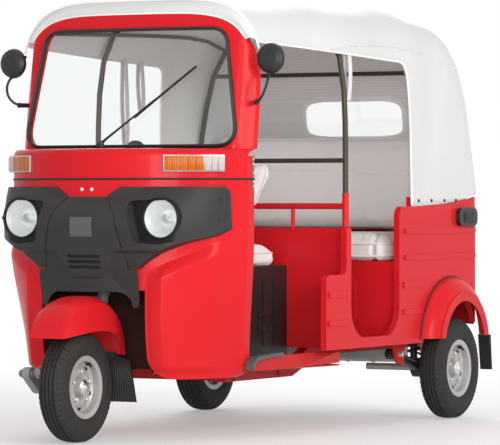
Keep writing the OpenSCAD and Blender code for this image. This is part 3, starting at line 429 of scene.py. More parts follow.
def drawn_in(p):
    """A point of the cab's front after its sides are drawn in, most at the foot of the shield."""
    x, y, z = p[0], p[1] - front_axle, p[2]
    ahead = 1 - ease((y - 0.46) / 0.34)
    side = ease((abs(x) - 0.43) / 0.09) * ahead
    low = ease((0.76 - z) / 0.46) * ease((abs(x) - 0.25) / 0.25) * ahead
    inwards = math.copysign(cowl_in * side + foot_in * low, x)
    return spot(x - inwards, y + cowl_back * side + foot_back * low, z)


def reshaped(node, move):
    """A solid's mesh with its points moved, as one part."""
    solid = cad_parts[node]
    index, points, alias = {}, [], []
    for v in solid.data.vertices:
        p = np.array(solid.matrix_world @ v.co)
        key = tuple(np.round(p, 5))
        if key not in index:
            index[key] = len(points)
            points.append(move(p))
        alias.append(index[key])
    faces = [tuple(alias[v] for v in face.vertices) for face in solid.data.polygons]
    return points, [face for face in faces if len(set(face)) == len(face)]


add_piece("front_cowl_skin", [reshaped("front_cowl", drawn_in)], body_red, "red_paint",
          stands_for="front_cowl")
add_piece("driver_floor_pan", [reshaped("driver_floor", drawn_in)], under_red, "red_paint",
          stands_for="driver_floor")
opening_half, opening_top, shield_foot = 0.225, 0.562, 0.231
pad_rise, foot_tuck = 0.027, 0.042


def shield_point(x, z):
    """A point of the shield's skin: the bowed nose, tucked under, with a creased pad on each leg shield."""
    tuck = foot_tuck * (max(0.0, 0.480 - z) / 0.275) ** 2
    across = min(1, max(0, (abs(x) - opening_half - 0.006) / 0.062))
    across *= ease((cab_half - 0.006 - abs(x)) / 0.034)
    upper = min(1, max(0, (0.628 + 0.5 * (abs(x) - opening_half) - z) / 0.050))
    rise = pad_rise * across * upper * ease((z - shield_foot - 0.012) / 0.040)
    return spot(x, nose_face(x) + tuck - rise, z)


def corner_fall(radius, height):
    """How far a rounded corner stands in from its side at a height over its foot."""
    return radius - math.sqrt(radius ** 2 - (radius - height) ** 2) if height < radius else 0.0


levels = np.concatenate([np.linspace(shield_foot, opening_top, 60),
                         np.linspace(opening_top, seam_level - 0.0004, 60)[1:]])
lamp_x, lamp_y, lamp_z = 0.302, 0.106, 0.829
lobe_columns, return_columns = 54, 4
middle_columns = np.linspace(-opening_half, opening_half, 40)[1:-1]
shield_grid = []
for z in levels:
    near = opening_half + corner_fall(0.085, z - shield_foot)
    far = cab_half - corner_fall(0.060, z - shield_foot)
    lobe = np.linspace(near, far, lobe_columns)
    front = [shield_point(x, z) for x in (*-lobe[::-1], *middle_columns, *lobe)]
    turned_back = [[spot(p[0], y, z) for y in np.linspace(p[1] - front_axle, jamb, return_columns + 1)[1:]]
                   for p in (front[0], front[-1])]
    shield_grid.append(turned_back[0][::-1] + front + turned_back[1])
shield_grid = np.array(shield_grid)
first_middle = return_columns + lobe_columns - 1


def shield_keep(i, j):
    """True for the cells outside the wheel opening and the lamp holes."""
    in_opening = first_middle <= j < first_middle + len(middle_columns) + 1 and levels[i] < opening_top - 1e-6
    p = shield_grid[i, j]
    return not in_opening and math.hypot(abs(p[0]) - lamp_x, p[2] - lamp_z) > 0.080


inside_grid = shield_grid * (0.991, 1, 1) + (0, 0.005, 0)
shield_sheets = [[[drawn_in(p) for p in row] for row in sheet] for sheet in (shield_grid, inside_grid)]
add_piece("leg_shield_skin", [shell(*shield_sheets, shield_keep)], body_red, "red_paint",
          stands_for="front_shield")


# Joint plates, screws and seam strip of the cab front.
# A screwed steel plate ties cowl and shield at each pillar's edge, two screws sit over the mask, and
# an extruded rubber strip is pushed into the joint, its round bead just proud of the paint.
plate_steel = Finish("joint_plate_steel", Metallic=0.8, Roughness=0.45)
scuff = plate_steel.noise(70.0, 4.0)
plate_steel.toned(scuff, (0.16, 0.12, 0.09), (0.34, 0.29, 0.24), (0.35, 0.25))
plates, plate_screws = [], []
joint_y, joint_z, plate_thick = jamb - 0.009, 0.998, 0.0022
for s in (-1, 1):
    plates.append(slab(rounded_corners(0.014, 0.116, 0.003), 0.0, plate_thick,
                       lambda u, v, d: drawn_in(spot(s * (cab_half + d), joint_y + u, joint_z + v))))
    for level in (-0.050, -0.033, 0, 0.033, 0.050):
        at = drawn_in(spot(s * (cab_half + plate_thick), joint_y, joint_z + level))
        plate_screws.append(screw(at, (s, 0, 0), 0.0042))
add_piece("pillar_plates", plates, plate_steel, "bare_steel")
bright_steel = Finish("bright_steel", Metallic=1.0, Roughness=0.3)
polish = bright_steel.noise(90.0)
bright_steel.toned(polish, (0.62, 0.62, 0.62), (0.80, 0.80, 0.79), (0.22, 0.2))
plate_screws += [screw(spot(x, nose_face(x), 0.936), nose_normal(x), 0.0075) for x in (-0.021, 0.021)]
add_piece("cab_screws", plate_screws, bright_steel, "bare_steel")

black_rubber = Finish("black_rubber", Roughness=0.6, Specular_IOR_Level=0.35)
mottle = black_rubber.noise(40.0)
black_rubber.toned(mottle, (0.010, 0.010, 0.010), (0.024, 0.022, 0.021), (0.45, 0.2))
black_rubber.bump(black_rubber.noise(700.0), 0.08, 0.0006)
bow_end = math.asin(cab_half / nose_radius)
strip = [spot(nose_radius * math.sin(a), nose_middle - nose_radius * math.cos(a), seam_level)
         for a in np.linspace(-bow_end, bow_end, 90)]
strip = [spot(-cab_half, jamb, seam_level)] + strip + [spot(cab_half, jamb, seam_level)]
add_piece("seam_strip", [tube([drawn_in(p) for p in strip], 0.0042)], black_rubber, "black_rubber")


# Side entries.
# The foot of each passenger entry is pressed in one wide sweep: a gusset in the panel's own plane
# rounds both of its corners.
gussets = []
sweep_radius, panel_inside, panel_thick, entry_foot = 0.115, 0.5555, 0.0247, 0.358
sweep = [(0.0, 0.0)] + [(sweep_radius * (1 - math.sin(a)), sweep_radius * (1 - math.cos(a)))
                        for a in np.linspace(0, math.pi / 2, 18)]
for s in (-1, 1):
    for y, way in ((1.105, 1), (1.527, -1)):
        gussets.append(slab(sweep, 0.0, panel_thick,
                            lambda u, v, d: spot(s * (panel_inside + d), y + way * u, entry_foot + v)))
add_piece("entry_gussets", gussets, body_red, "red_paint")


# Windscreen.
# Laminated glass in a black rubber section that grips the frame's edge. The wiper's arm turns on a
# spindle through the cowl's shelf and carries a blade of sprung steel with a rubber edge.
def clear_pane(name, tint, gloss, ripple=None):
    """A clear sheet that mirrors at a glance, fluted where ripple is given."""
    pane = Finish(name)
    pane.tree.nodes.remove(pane.shader)
    through = pane.node("BsdfTransparent", sockets={"Color": (*tint, 1)})
    mirror = pane.node("BsdfGlossy", sockets={"Color": (1, 1, 1, 1), "Roughness": 0.03})
    if ripple:
        wave = pane.waves("X", ripple)
        tilt = pane.node("Bump", sockets={"Height": wave, "Strength": 0.5, "Distance": 0.002})
        pane.tree.links.new(tilt.socket, pane.tree.nodes["Glossy BSDF"].inputs["Normal"])
    facing = pane.node("Fresnel", sockets={"IOR": 1.5}) * (1.0 - pane.node("NewGeometry", out="Backfacing"))
    smear = pane.noise(6.0)
    pane.surface(pane.node("MixShader", sockets={0: facing * gloss + smear * 0.03, 1: through, 2: mirror}))
    return pane


screen_pane = clear_pane("screen_glass", (0.95, 0.965, 0.96), 0.9)
black_plastic = Finish("black_plastic", Roughness=0.42, Specular_IOR_Level=0.4)
cast = black_plastic.noise(25.0)
black_plastic.toned(cast, (0.010, 0.010, 0.011), (0.020, 0.019, 0.020), (0.34, 0.16))
black_plastic.bump(black_plastic.noise(1100.0), 0.06, 0.0004)


def screen_face(x, z):
    """Distance of the windscreen's outer face behind the front axle."""
    return 0.350 + x * x / 5.2 + (z - 1.100) * math.tan(math.radians(7.7))


def on_screen(x, z, proud):
    """A point in front of the windscreen's outer face."""
    return spot(x, screen_face(x, z) - proud, z)


def rounded_polygon(points, radius, steps=6):
    """The outline of a convex polygon with its corners rounded."""
    outline = []
    for k, corner in enumerate(points):
        before, after = points[k - 1] - corner, points[(k + 1) % len(points)] - corner
        long_before, long_after = np.linalg.norm(before), np.linalg.norm(after)
        a, b = before / long_before, after / long_after
        half_turn = math.acos(np.clip(a @ b, -1, 1)) / 2
        reach = min(radius / math.tan(half_turn), 0.45 * long_before, 0.45 * long_after)
        start, end = corner + a * reach, corner + b * reach
        outline += [tuple((1 - t) ** 2 * start + 2 * t * (1 - t) * corner + t * t * end)
                    for t in np.linspace(0, 1, steps)]
    return np.array(outline)


def squircle_rise(share):
    """The height of a squared-off arch, as a share, over a share of its half width."""
    return (1 - abs(share) ** 5) ** 0.2


glass_middle = np.array((0.0, 1.33))


def met_by_rays(outline, count=240):
    """The points where rays from the windscreen's middle meet an outline."""
    closed = np.vstack([outline, outline[:1]])
    run = np.concatenate([[0], np.cumsum(np.linalg.norm(np.diff(closed, axis=0), axis=1))])
    even = np.linspace(0, run[-1], 2000, endpoint=False)
    fine = np.stack([np.interp(even, run, closed[:, k]) for k in (0, 1)], 1) - glass_middle
    turn, reach = np.arctan2(fine[:, 1], fine[:, 0]), np.hypot(fine[:, 0], fine[:, 1])
    order = np.argsort(turn)
    rays = np.linspace(-math.pi, math.pi, count, endpoint=False)
    length = np.interp(rays, turn[order], reach[order], period=2 * math.pi)
    return np.stack([np.cos(rays), np.sin(rays)], 1) * length[:, None] + glass_middle


def frame_wrap(x):
    """How far the frame's pillars turn back beside the glass."""
    return 0.050 * ease((abs(x) - 0.452) / 0.055)


frame_half, frame_foot, arch_foot, arch_rise = 0.505, 1.084, 1.100, 0.502
glass_corners = np.array([(-0.466, 1.098), (0.466, 1.098), (0.394, 1.543), (-0.394, 1.543)])
window_line = met_by_rays(rounded_polygon(glass_corners, 0.072, 12))
arch_line = [(frame_half * c, arch_foot + squircle_rise(c) * arch_rise)
             for c in np.cos(np.linspace(0, math.pi, 200))]
arch_line = met_by_rays(np.array([(frame_half, frame_foot), *arch_line, (-frame_half, frame_foot)]))
rings = []
for inside, outside in zip(window_line, arch_line):
    across = [inside + (outside - inside) * t for t in (0, 0.2, 0.4, 0.6, 0.8, 0.96, 1.0)]
    front = [spot(x, screen_face(x, z) + frame_wrap(x), z) for x, z in across]
    front[-1] = front[-1] + np.array((0, 0.003, 0))
    rings.append([*front, front[-1] + np.array((0, 0.027, 0)), front[0] + np.array((0, 0.030, 0))])
add_piece("windscreen_surround", [sleeve(rings, closed_path=True)], body_red, "red_paint",
          stands_for="windscreen_frame")
gasket_path = [on_screen(x, z, 0.001 - frame_wrap(x)) for x, z in window_line]
add_piece("windscreen_rubber", [tube(gasket_path, 0.0125, 12, True, wide=0.55)], black_rubber, "black_rubber",
          stands_for="windscreen_gasket")
pane_rings = []
front_and_back = [(t, 0.002) for t in (0.02, 0.25, 0.5, 0.75, 0.995)]
front_and_back += [(t, 0.007) for t in (0.995, 0.5, 0.02)]
for t, sink in front_and_back:
    ring = glass_middle + (window_line - glass_middle) * t
    pane_rings.append([on_screen(x, z, -sink - frame_wrap(x) * 0.8) for x, z in ring])
add_piece("windscreen_pane", [sleeve(pane_rings)], screen_pane, "clear_glass", stands_for="windscreen_glass")
wiper_foot, wiper_joint, wiper_tip = (-0.082, 1.112), (0.13, 1.275), (0.288, 1.398)
arm = [on_screen(*wiper_foot, 0.030), on_screen(-0.06, 1.128, 0.034), on_screen(0.04, 1.205, 0.024),
       on_screen(*wiper_joint, 0.018)]
along = np.array(wiper_tip) - np.array(wiper_joint)
blade = [np.array(wiper_joint) + along * t for t in np.linspace(-0.55, 1, 16)]
spindle_y = 0.318
knob = turned([(0, 0.014), (0.016, 0.014), (0.024, 0.010), (0.026, 0.002)],
              spot(wiper_foot[0], spindle_y, 1.095), (0, -0.35, 1))
arm_route = [spot(wiper_foot[0], spindle_y, 1.105), *arm]
wiper_parts = [knob, tube(arm_route, [0.008, 0.007, 0.005, 0.004, 0.0035], 8)]
for proud, thick, wide in ((0.016, 0.0028, 1.6), (0.008, 0.004, 0.5)):
    wiper_parts.append(tube([on_screen(*p, proud) for p in blade], thick, 8, wide=wide))
for k in (1, 5, 10, 14):
    wiper_parts.append(tube([on_screen(*blade[k], proud) for proud in (0.016, 0.006)], 0.003, 6))
add_piece("wiper_arm", wiper_parts, black_plastic, "black_plastic", stands_for="wiper")


# Front mask.
# Three injection mouldings in grained charcoal plastic, clipped and screwed over the nose: a middle
# panel with louvres and a blank badge plate, and two wings whose recesses hold the headlamps.
charcoal = Finish("charcoal_plastic", Roughness=0.5, Specular_IOR_Level=0.2)
drift = charcoal.noise(5.0)
charcoal.toned(drift, (0.027, 0.0255, 0.025), (0.038, 0.036, 0.0355), (0.42, 0.12))
charcoal.bump(charcoal.cells(900.0), 0.05, 0.0006)
dress(charcoal, "fascia_sides", "dashboard")
smooth("fascia_sides", angle=26)
mask_end, mask_front, mask_level = 0.482, 0.032, 0.800
mask_depth = nose_face(mask_end) - mask_front - 0.0235


def mask_face(x, z):
    """Distance of the mask's outer face behind the front axle."""
    t, up, down = abs(x) / mask_end, max(0, z - mask_level), max(0, mask_level - z)
    set_back = (0.052 * (up / 0.110) ** 2 + 0.19 * down) * (1 - 0.8 * t * t)
    return min(mask_front + mask_depth * (0.25 * t ** 2 + 0.75 * t ** 6) + set_back, nose_face(x) - 0.006)


def mask_normal(x, z):
    """The direction out of the mask's face."""
    step = 0.004
    tilt_x = (mask_face(x + step, z) - mask_face(x - step, z)) / (2 * step)
    tilt_z = (mask_face(x, z + step) - mask_face(x, z - step)) / (2 * step)
    return np.array((tilt_x, -1, tilt_z)) / math.sqrt(1 + tilt_x ** 2 + tilt_z ** 2)


def pad(width, height, back, front, round_off, placed, columns=2, rows=2):
    """A closed cover with a rounded front edge, set in space by placed(u, v, out)."""
    def cuts(length, count):
        inside = np.linspace(round_off, length - round_off, count)
        return np.array([0, 0.3 * round_off, *inside, length - 0.3 * round_off, length]) - length / 2

    def drop(from_edge):
        return round_off * (1 - math.sqrt(max(0.0, 1 - (1 - min(1, max(0, from_edge) / round_off)) ** 2)))

    us, vs = cuts(width, columns), cuts(height, rows)
    face = [[placed(u, v, front - max(drop(width / 2 - abs(u)), drop(height / 2 - abs(v)))) for v in vs]
            for u in us]
    return shell(face, [[placed(u, v, back) for v in vs] for u in us])


# Near black: the own colour of the lamp rings, dial face and valves, and painted shade on the lamp recess
# floors and the wheels' vent discs.
black_and_painted_shade = Finish("black_and_painted_recess_shade", Roughness=0.55, Specular_IOR_Level=0.25)
black_mottle = black_and_painted_shade.noise(30.0)
black_and_painted_shade.toned(black_mottle, (0.006, 0.006, 0.006), (0.013, 0.012, 0.012))
black_and_painted_shade.bump(black_and_painted_shade.noise(800.0), 0.05, 0.0005)
chin_step = 0.013
panel_half = (  # height, half width of the middle panel
    (0.500, 0.205), (0.530, 0.211), (0.600, 0.212), (0.637, 0.212), (0.640, 0.177), (0.680, 0.172),
    (0.740, 0.158), (0.800, 0.145), (0.850, 0.130), (0.885, 0.104), (0.909, 0.076))
louvres, louvre_end = (0.648, 0.668, 0.688), 0.0705


def panel_face(x, z):
    """The middle panel's face, stepped back below the chin's line."""
    chin = chin_step * ease((0.613 + 0.100 * ease((abs(x) - 0.052) / 0.088) - z) / 0.015)
    slot = 0.016 if abs(x) < louvre_end and min(abs(z - level) for level in louvres) < 0.005 else 0.0
    return min(mask_face(x, z) + chin, nose_face(x) - 0.006) + slot


louvre_edges = {z + d for z in louvres for d in (-0.0055, -0.0045, 0.0045, 0.0055)}
levels = sorted({*np.round(np.linspace(0.500, 0.909, 120), 5), *louvre_edges})
arch_round = 0.060
arch_cut = np.array(rounded_corners(0.372, 0.200, arch_round, 40)) + (0, 0.456)
panel_grid, cut_off = [], []
for z in levels:
    half = float(np.interp(z, *zip(*panel_half)))
    beside = np.array([louvre_end, *np.linspace(louvre_end + 0.001, half, 30)])
    columns = np.concatenate([-beside[::-1], np.linspace(-0.066, 0.066, 30), beside])
    row, row_cut = [], []
    for x in columns:
        u, v = max(0, abs(x) - 0.126), max(0, z - 0.496)
        row_cut.append(math.hypot(u, v) < arch_round)
        at = arch_cut[np.argmin(np.linalg.norm(arch_cut - (x, z), axis=1))] if row_cut[-1] else (x, z)
        row.append(spot(at[0], panel_face(x, z), at[1]))
    panel_grid.append(row)
    cut_off.append(row_cut)
panel_grid, cut_off = np.array(panel_grid), np.array(cut_off)
panel_part = shell(panel_grid, panel_grid + (0, 0.005, 0), lambda i, j: not cut_off[i:i + 2, j:j + 2].all())
add_piece("mask_middle_panel", [panel_part], charcoal, "grey_plastic", stands_for="fascia_centre")
pocket = [  # corners of a lamp's recess about the lamp's middle
    (-0.118, 0.060), (-0.086, -0.083), (0.0, -0.091), (0.145, -0.062), (0.145, 0.075)]


def pocket_reach(u, v):
    """How many times farther than (u, v) the recess's outline is from the lamp's middle."""
    reaches = []
    for p, q in zip(pocket, pocket[1:] + pocket[:1]):
        slant = u * (p[1] - q[1]) + v * (q[0] - p[0])
        if abs(slant) > 1e-9:
            reaches.append((q[0] * p[1] - q[1] * p[0]) / slant)
    return min(reach for reach in reaches if reach > 0)


def sunk(side, u, v, back):
    """A point of a recess's floor, behind the mask's face."""
    x, z = side * (lamp_x + u), lamp_z + v
    return spot(x, max(lamp_y - 0.0025, mask_face(x, z) + 0.003) + back, z)


floor_radius, floor_thick = 0.0795, 0.004
ring = np.array([(floor_radius * math.cos(a), floor_radius * math.sin(a))
                 for a in np.linspace(0, 2 * math.pi, 60, endpoint=False)])
edge = np.array([p * pocket_reach(*p) for p in ring])
steps = [(0, floor_thick)] + [(t, 0.0) for t in np.linspace(0, 1, 12)]
steps += [(t, floor_thick) for t in np.linspace(1, 0.1, 10)]
mask_screws, pocket_floors = [], []
for s in (-1, 1):
    rings = [[sunk(s, *(p + (q - p) * t), back) for p, q in zip(ring, edge)] for t, back in steps]
    pocket_floors.append(sleeve(rings, closed_path=True))
    for x, z, behind in ((0.466, 0.901, 0), (0.466, 0.823, 0), (0.197, 0.656, 0), (0.196, 0.513, chin_step)):
        at = spot(s * x, mask_face(s * x, z) + behind, z)
        mask_screws.append(screw(at, mask_normal(s * x, z), 0.006))
# The recess floors are near-black as painted shade round each lamp.
add_piece("lamp_recesses", pocket_floors, black_and_painted_shade, "black_plastic")
add_piece("mask_screws", mask_screws, black_plastic, "black_plastic")
badge_grey = Finish("badge_grey", Metallic=0.2, Roughness=0.45, Specular_IOR_Level=0.3)
brushed = badge_grey.noise(8.0, 3.0, (1, 1, 60))
badge_grey.toned(brushed, (0.075, 0.074, 0.075), (0.12, 0.119, 0.12), (0.34, 0.2))
plate_z = 0.797
badge = pad(0.094, 0.074, -0.002, 0.0045, 0.003,
            lambda u, v, d: spot(u, mask_face(u, plate_z + v) - d, plate_z + v), 14, 12)
add_piece("blank_badge_plate", [badge], badge_grey, "grey_plastic")


# Headlamps.
# Round lamps: a bright turned bowl with a shielded bulb in its middle, behind a domed glass whose
# inside is moulded in flutes, held by a dark ring with three clips.
# Painted reflection: the bowl's near-white, mostly diffuse colour stands in for the bright mirror of a plated
# reflector.
bowl_painted_reflection = Finish("bowl_painted_reflection", Metallic=0.2, Roughness=0.35)
bowl_reflection_mottle = bowl_painted_reflection.noise(20.0)
bowl_painted_reflection.toned(bowl_reflection_mottle, (0.84, 0.84, 0.84), (0.93, 0.93, 0.92), (0.26, 0.16))
bowl_painted_reflection.bump(bowl_painted_reflection.cells(60.0), 0.12, 0.003)
dress(bowl_painted_reflection, "headlamp_bowls")
lamp_pane = clear_pane("lamp_glass", (0.95, 0.96, 0.96), 1.0, 40.0)
dress(lamp_pane, "headlamp_lenses")
smooth("headlamp_bowls", "headlamp_lenses")
rings, bulbs = [], []
for s in (-1, 1):
    middle, ahead = spot(s * lamp_x, lamp_y, lamp_z), np.array((0, -1, 0))
    rings.append(turned([(-0.002, 0.0705), (0.006, 0.0705), (0.008, 0.0735), (0.006, 0.0800),
                         (-0.034, 0.0800), (-0.034, 0.0784), (-0.002, 0.0784)], middle, ahead, 64, True))
    for a in np.radians((60, 180, 300)):
        clip = middle + 0.076 * np.array((math.cos(a), 0, math.sin(a)))
        rings.append(turned([(0.004, 0.006), (0.011, 0.006), (0.012, 0.003)], clip, ahead, 12))
    bulbs.append(turned([(-0.055, 0.018), (-0.030, 0.016), (-0.024, 0.010), (-0.012, 0.010), (-0.006, 0.006),
                         (-0.005, 0.001)], middle, ahead, 24))
add_piece("lamp_rings", rings, black_and_painted_shade, "black_plastic")
add_piece("lamp_bulbs", bulbs, bright_steel, "lamp_reflector")


# Front indicators.
# Curved lamp units screwed to the cowl: a plated rim, an amber lens over two thirds of it and a clear
# one beside the body's edge, both ribbed inside.
def lens_finish(name, dark, light, ribs):
    """A coloured lens with ribs across one axis."""
    lens = Finish(name, Roughness=0.15, Coat_Weight=0.06, Specular_IOR_Level=0.18)
    flute = lens.waves(ribs, 45.0)
    depth = lens.noise(35.0)
    lens.link("Base Color", lens.mix(flute * 0.6 + depth * 0.4, dark, light))
    lens.bump(flute, 0.35, 0.003)
    return lens


def nose_pad(side, start, end, low, high, back, front, round_off, columns):
    """A pad on the bowed cowl between two angles from its middle, in degrees."""
    start, end = sorted((math.radians(side * start), math.radians(side * end)))

    def placed(u, v, out):
        turn = (start + end) / 2 + u / nose_radius
        r = nose_radius + out
        return spot(r * math.sin(turn), nose_middle - r * math.cos(turn), (low + high) / 2 + v)

    return pad(abs(end - start) * nose_radius, high - low, back, front, round_off, placed, columns)


amber = lens_finish("amber_lens", (0.34, 0.045, 0.003), (0.66, 0.17, 0.008), "X")
clear_lens = lens_finish("clear_lens", (0.38, 0.29, 0.29), (0.60, 0.52, 0.52), "X")
rims, ambers, clears = [], [], []
inner, split_at, outer = 27.9, 42.0, 49.5
lens_form = (1.006, 1.060, 0.009, 0.0148, 0.003, 3)
for s in (-1, 1):
    rims.append(nose_pad(s, inner, outer, 1.001, 1.065, 0.0003, 0.010, 0.002, 16))
    ambers += [nose_pad(s, a, a + 2.7, *lens_form) for a in np.linspace(inner + 0.4, split_at - 2.8, 5)]
    clears += [nose_pad(s, a, a + 2.15, *lens_form) for a in np.linspace(split_at + 0.3, outer - 2.5, 3)]
plated = Finish("plated_rim", Metallic=1.0, Roughness=0.3)
tarnish = plated.noise(50.0)
plated.toned(tarnish, (0.30, 0.30, 0.30), (0.44, 0.44, 0.43), (0.22, 0.2))
for name, parts, finish, slot in (("indicator_rims", rims, plated, "lamp_reflector"),
                                  ("indicator_amber", ambers, amber, "amber_lens"),
                                  ("indicator_clear", clears, clear_lens, "lamp_lens")):
    add_piece(name, parts, finish, slot, stands_for="front_indicators")


# Mirrors.
# Moulded black heads with a flat glass behind, on bent rods screwed to the pillars.
dress(black_plastic, "mirrors")
smooth("mirrors")
silvered = Finish("mirror_glass", Metallic=1.0, Roughness=0.03)
haze = silvered.noise(12.0)
silvered.toned(haze, (0.82, 0.84, 0.85), (0.90, 0.91, 0.92))
mirror_x, mirror_y, mirror_z = 0.568, 0.4649, 1.426
panes = [turned([(0.0082, 0.052), (0.0088, 0.052), (0.0092, 0.050), (0.0092, 0.001)],
                spot(s * mirror_x, mirror_y, mirror_z), (0, 1, 0), 40) for s in (-1, 1)]
add_piece("mirror_glass", panes, silvered, "lamp_reflector")
clamp_route = ((0.524, 0.439), (0.512, 0.452), (0.500, 0.484))
clamps = [tube([spot(side * x, y, 1.263) for x, y in clamp_route], 0.009, 12) for side in (-1, 1)]
add_piece("mirror_clamps", clamps, black_plastic, "black_plastic")


# Dashboard and handlebar.
# A moulded board under the cowl's shelf with one round instrument, a lock and two knobs; the bar is a
# painted tube with rubber grips and cast levers.
dial_y, dial_z = 0.432, 1.083
backwards = (0, 1, 0)
ring = turned([(-0.004, 0.040), (0.012, 0.040), (0.015, 0.037), (0.013, 0.033), (0.004, 0.033)],
              spot(0, dial_y, dial_z), backwards, 48)
knobs = [turned([(-0.004, 0.010), (0.010, 0.011), (0.016, 0.010), (0.018, 0.004)],
                spot(x, dial_y, 1.075), backwards, 20) for x in (-0.13, -0.09, 0.11)]
add_piece("dashboard_fittings", [ring, *knobs], black_plastic, "black_plastic")
dial_white = Finish("dial_print", Roughness=0.4)
dial_tone = dial_white.noise(50.0)
dial_white.toned(dial_tone, (0.70, 0.70, 0.68), (0.80, 0.80, 0.78))
marks = []
for k in range(13):
    a = math.radians(225 - 22.5 * k)
    ends = (0.024 if k % 2 == 0 else 0.027, 0.031)
    mark = [spot(-r * math.cos(a), dial_y + 0.0062, dial_z + r * math.sin(a)) for r in ends]
    marks.append(tube(mark, 0.0007, 6))
needle = [spot(x, dial_y + 0.0075, dial_z + up) for x, up in ((0.004, -0.004), (-0.018, 0.016))]
marks.append(tube(needle, [0.0012, 0.0005], 6))
add_piece("dial_marks", marks, dial_white, "lamp_lens")
dial = turned([(0.003, 0.034), (0.006, 0.034), (0.0061, 0.001)], spot(0, dial_y, dial_z), backwards, 40)
add_piece("dial_face", [dial], black_and_painted_shade, "black_plastic")
dress(black_plastic, "handlebar")
smooth("handlebar")
rake = math.radians(24)


def steered(x, y, z):
    """A point given in the steering column's own leaning frame."""
    return spot(x, -0.040 + y * math.cos(rake) + z * math.sin(rake), -y * math.sin(rake) + z * math.cos(rake))


def curve(points, count):
    """Points of a smooth curve with three or four control points."""
    points, t = np.array(points, float), np.linspace(0, 1, count)[:, None]
    if len(points) == 3:
        return (1 - t) ** 2 * points[0] + 2 * t * (1 - t) * points[1] + t ** 2 * points[2]
    return ((1 - t) ** 3 * points[0] + 3 * t * (1 - t) ** 2 * points[1] + 3 * t ** 2 * (1 - t) * points[2]
            + t ** 3 * points[3])


bar_level = 0.925 / math.cos(rake)
grips, levers = [], []
for s in (-1, 1):
    bend = [(s * 0.330, 0.070, bar_level - 0.020), (s * 0.160, 0.010, bar_level + 0.012),
            (0, 0, bar_level + 0.006)]
    bar = np.array([steered(*p) for p in curve(bend, 101)])
    path = bar[:37]
    ridge = [0.0185 + 0.0012 * (k % 2) for k in range(len(path))]
    ridge[0], ridge[1], ridge[-1], ridge[-2] = 0.016, 0.021, 0.022, 0.022
    grips.append(tube(path, ridge, 18))
    ahead = np.array((0, -math.cos(rake), math.sin(rake)))
    reach = [bar[44], bar[40] + 0.030 * ahead, bar[25] + 0.062 * ahead, bar[6] + 0.050 * ahead]
    levers.append(tube(curve(reach, 18), np.linspace(0.007, 0.005, 18), 10))
    levers.append(turned([(-0.016, 0.019), (0.016, 0.019)], bar[44], bar[45] - bar[43], 20))
add_piece("bar_grips", grips, black_rubber, "black_rubber", body="steering")
add_piece("bar_levers", levers, bright_steel, "bare_steel", body="steering")


# Driver's place.
# A moulded seat base on the floor with ribbed flanks, a grey foot bar at each doorway and a small
# brake pedal; the base is screwed down and carries the cushion.
dress(black_plastic, "driver_seat_box")
smooth("driver_seat_box")
bars = []
for s in (-1, 1):
    for level in (0.452, 0.402):
        bars.append(pad(0.052, 0.020, 0.0, 0.007, 0.006,
                        lambda u, v, out: spot(s * (0.305 + out), 0.880 + u, level + v)))
add_piece("seat_base_ribs", bars, black_plastic, "black_plastic")
grey_rubber = Finish("grey_rubber", Roughness=0.5)
grime = grey_rubber.noise(24.0, 4.0)
grey_rubber.toned(grime, (0.055, 0.055, 0.055), (0.10, 0.098, 0.095), (0.4, 0.25))
grey_rubber.bump(grey_rubber.waves("Y", 38.0), 0.25, 0.002)
dress(grey_rubber, "foot_rail")
smooth("foot_rail")
pedal_x = 0.170
pedal_route = [spot(pedal_x, y, z) for y, z in ((0.372, 0.262), (0.420, 0.330), (0.470, 0.345))]
pedal = tube(curve(pedal_route, 10), 0.008, 10)
tread_plate = pad(0.070, 0.050, 0.0, 0.010, 0.004,
                  lambda u, v, out: spot(pedal_x + u, 0.468 + 0.6 * v + 0.5 * out,
                                         0.345 - 0.8 * v + 0.86 * out))
add_piece("brake_pedal", [pedal, tread_plate], black_rubber, "black_rubber")
mat_ribs = []
for s in (-1, 1):
    for k in range(14):
        x = s * (0.330 + 0.010 * k)
        mat_ribs.append(tube([spot(x, 0.72, 0.2595), spot(x, 1.06, 0.2595)], 0.0022, 6))
    mat_ribs.append(pad(0.150, 0.360, 0.0001, 0.0022, 0.001,
                        lambda u, v, out: spot(s * 0.395 + u, 0.89 + v, 0.258 + out)))
add_piece("floor_mats", mat_ribs, black_rubber, "black_rubber")


# Seats.
# Foam pads in white coated cloth with a fine grain, sewn with welted edges: a cushion and a narrow
# back for the driver, a bench with sewn end bolsters and a tall back for the passengers.
white_vinyl = Finish("white_vinyl", Roughness=0.5, Specular_IOR_Level=0.35)
tone = white_vinyl.noise(4.0)
soil = white_vinyl.noise(13.0, 5.0)
white_vinyl.toned(tone * 0.6 + soil * 0.4, (0.79, 0.785, 0.77), (0.86, 0.86, 0.85))
white_vinyl.link("Roughness", 0.42 + tone * 0.16)
white_vinyl.bump(white_vinyl.cells(650.0), 0.09, 0.0008)


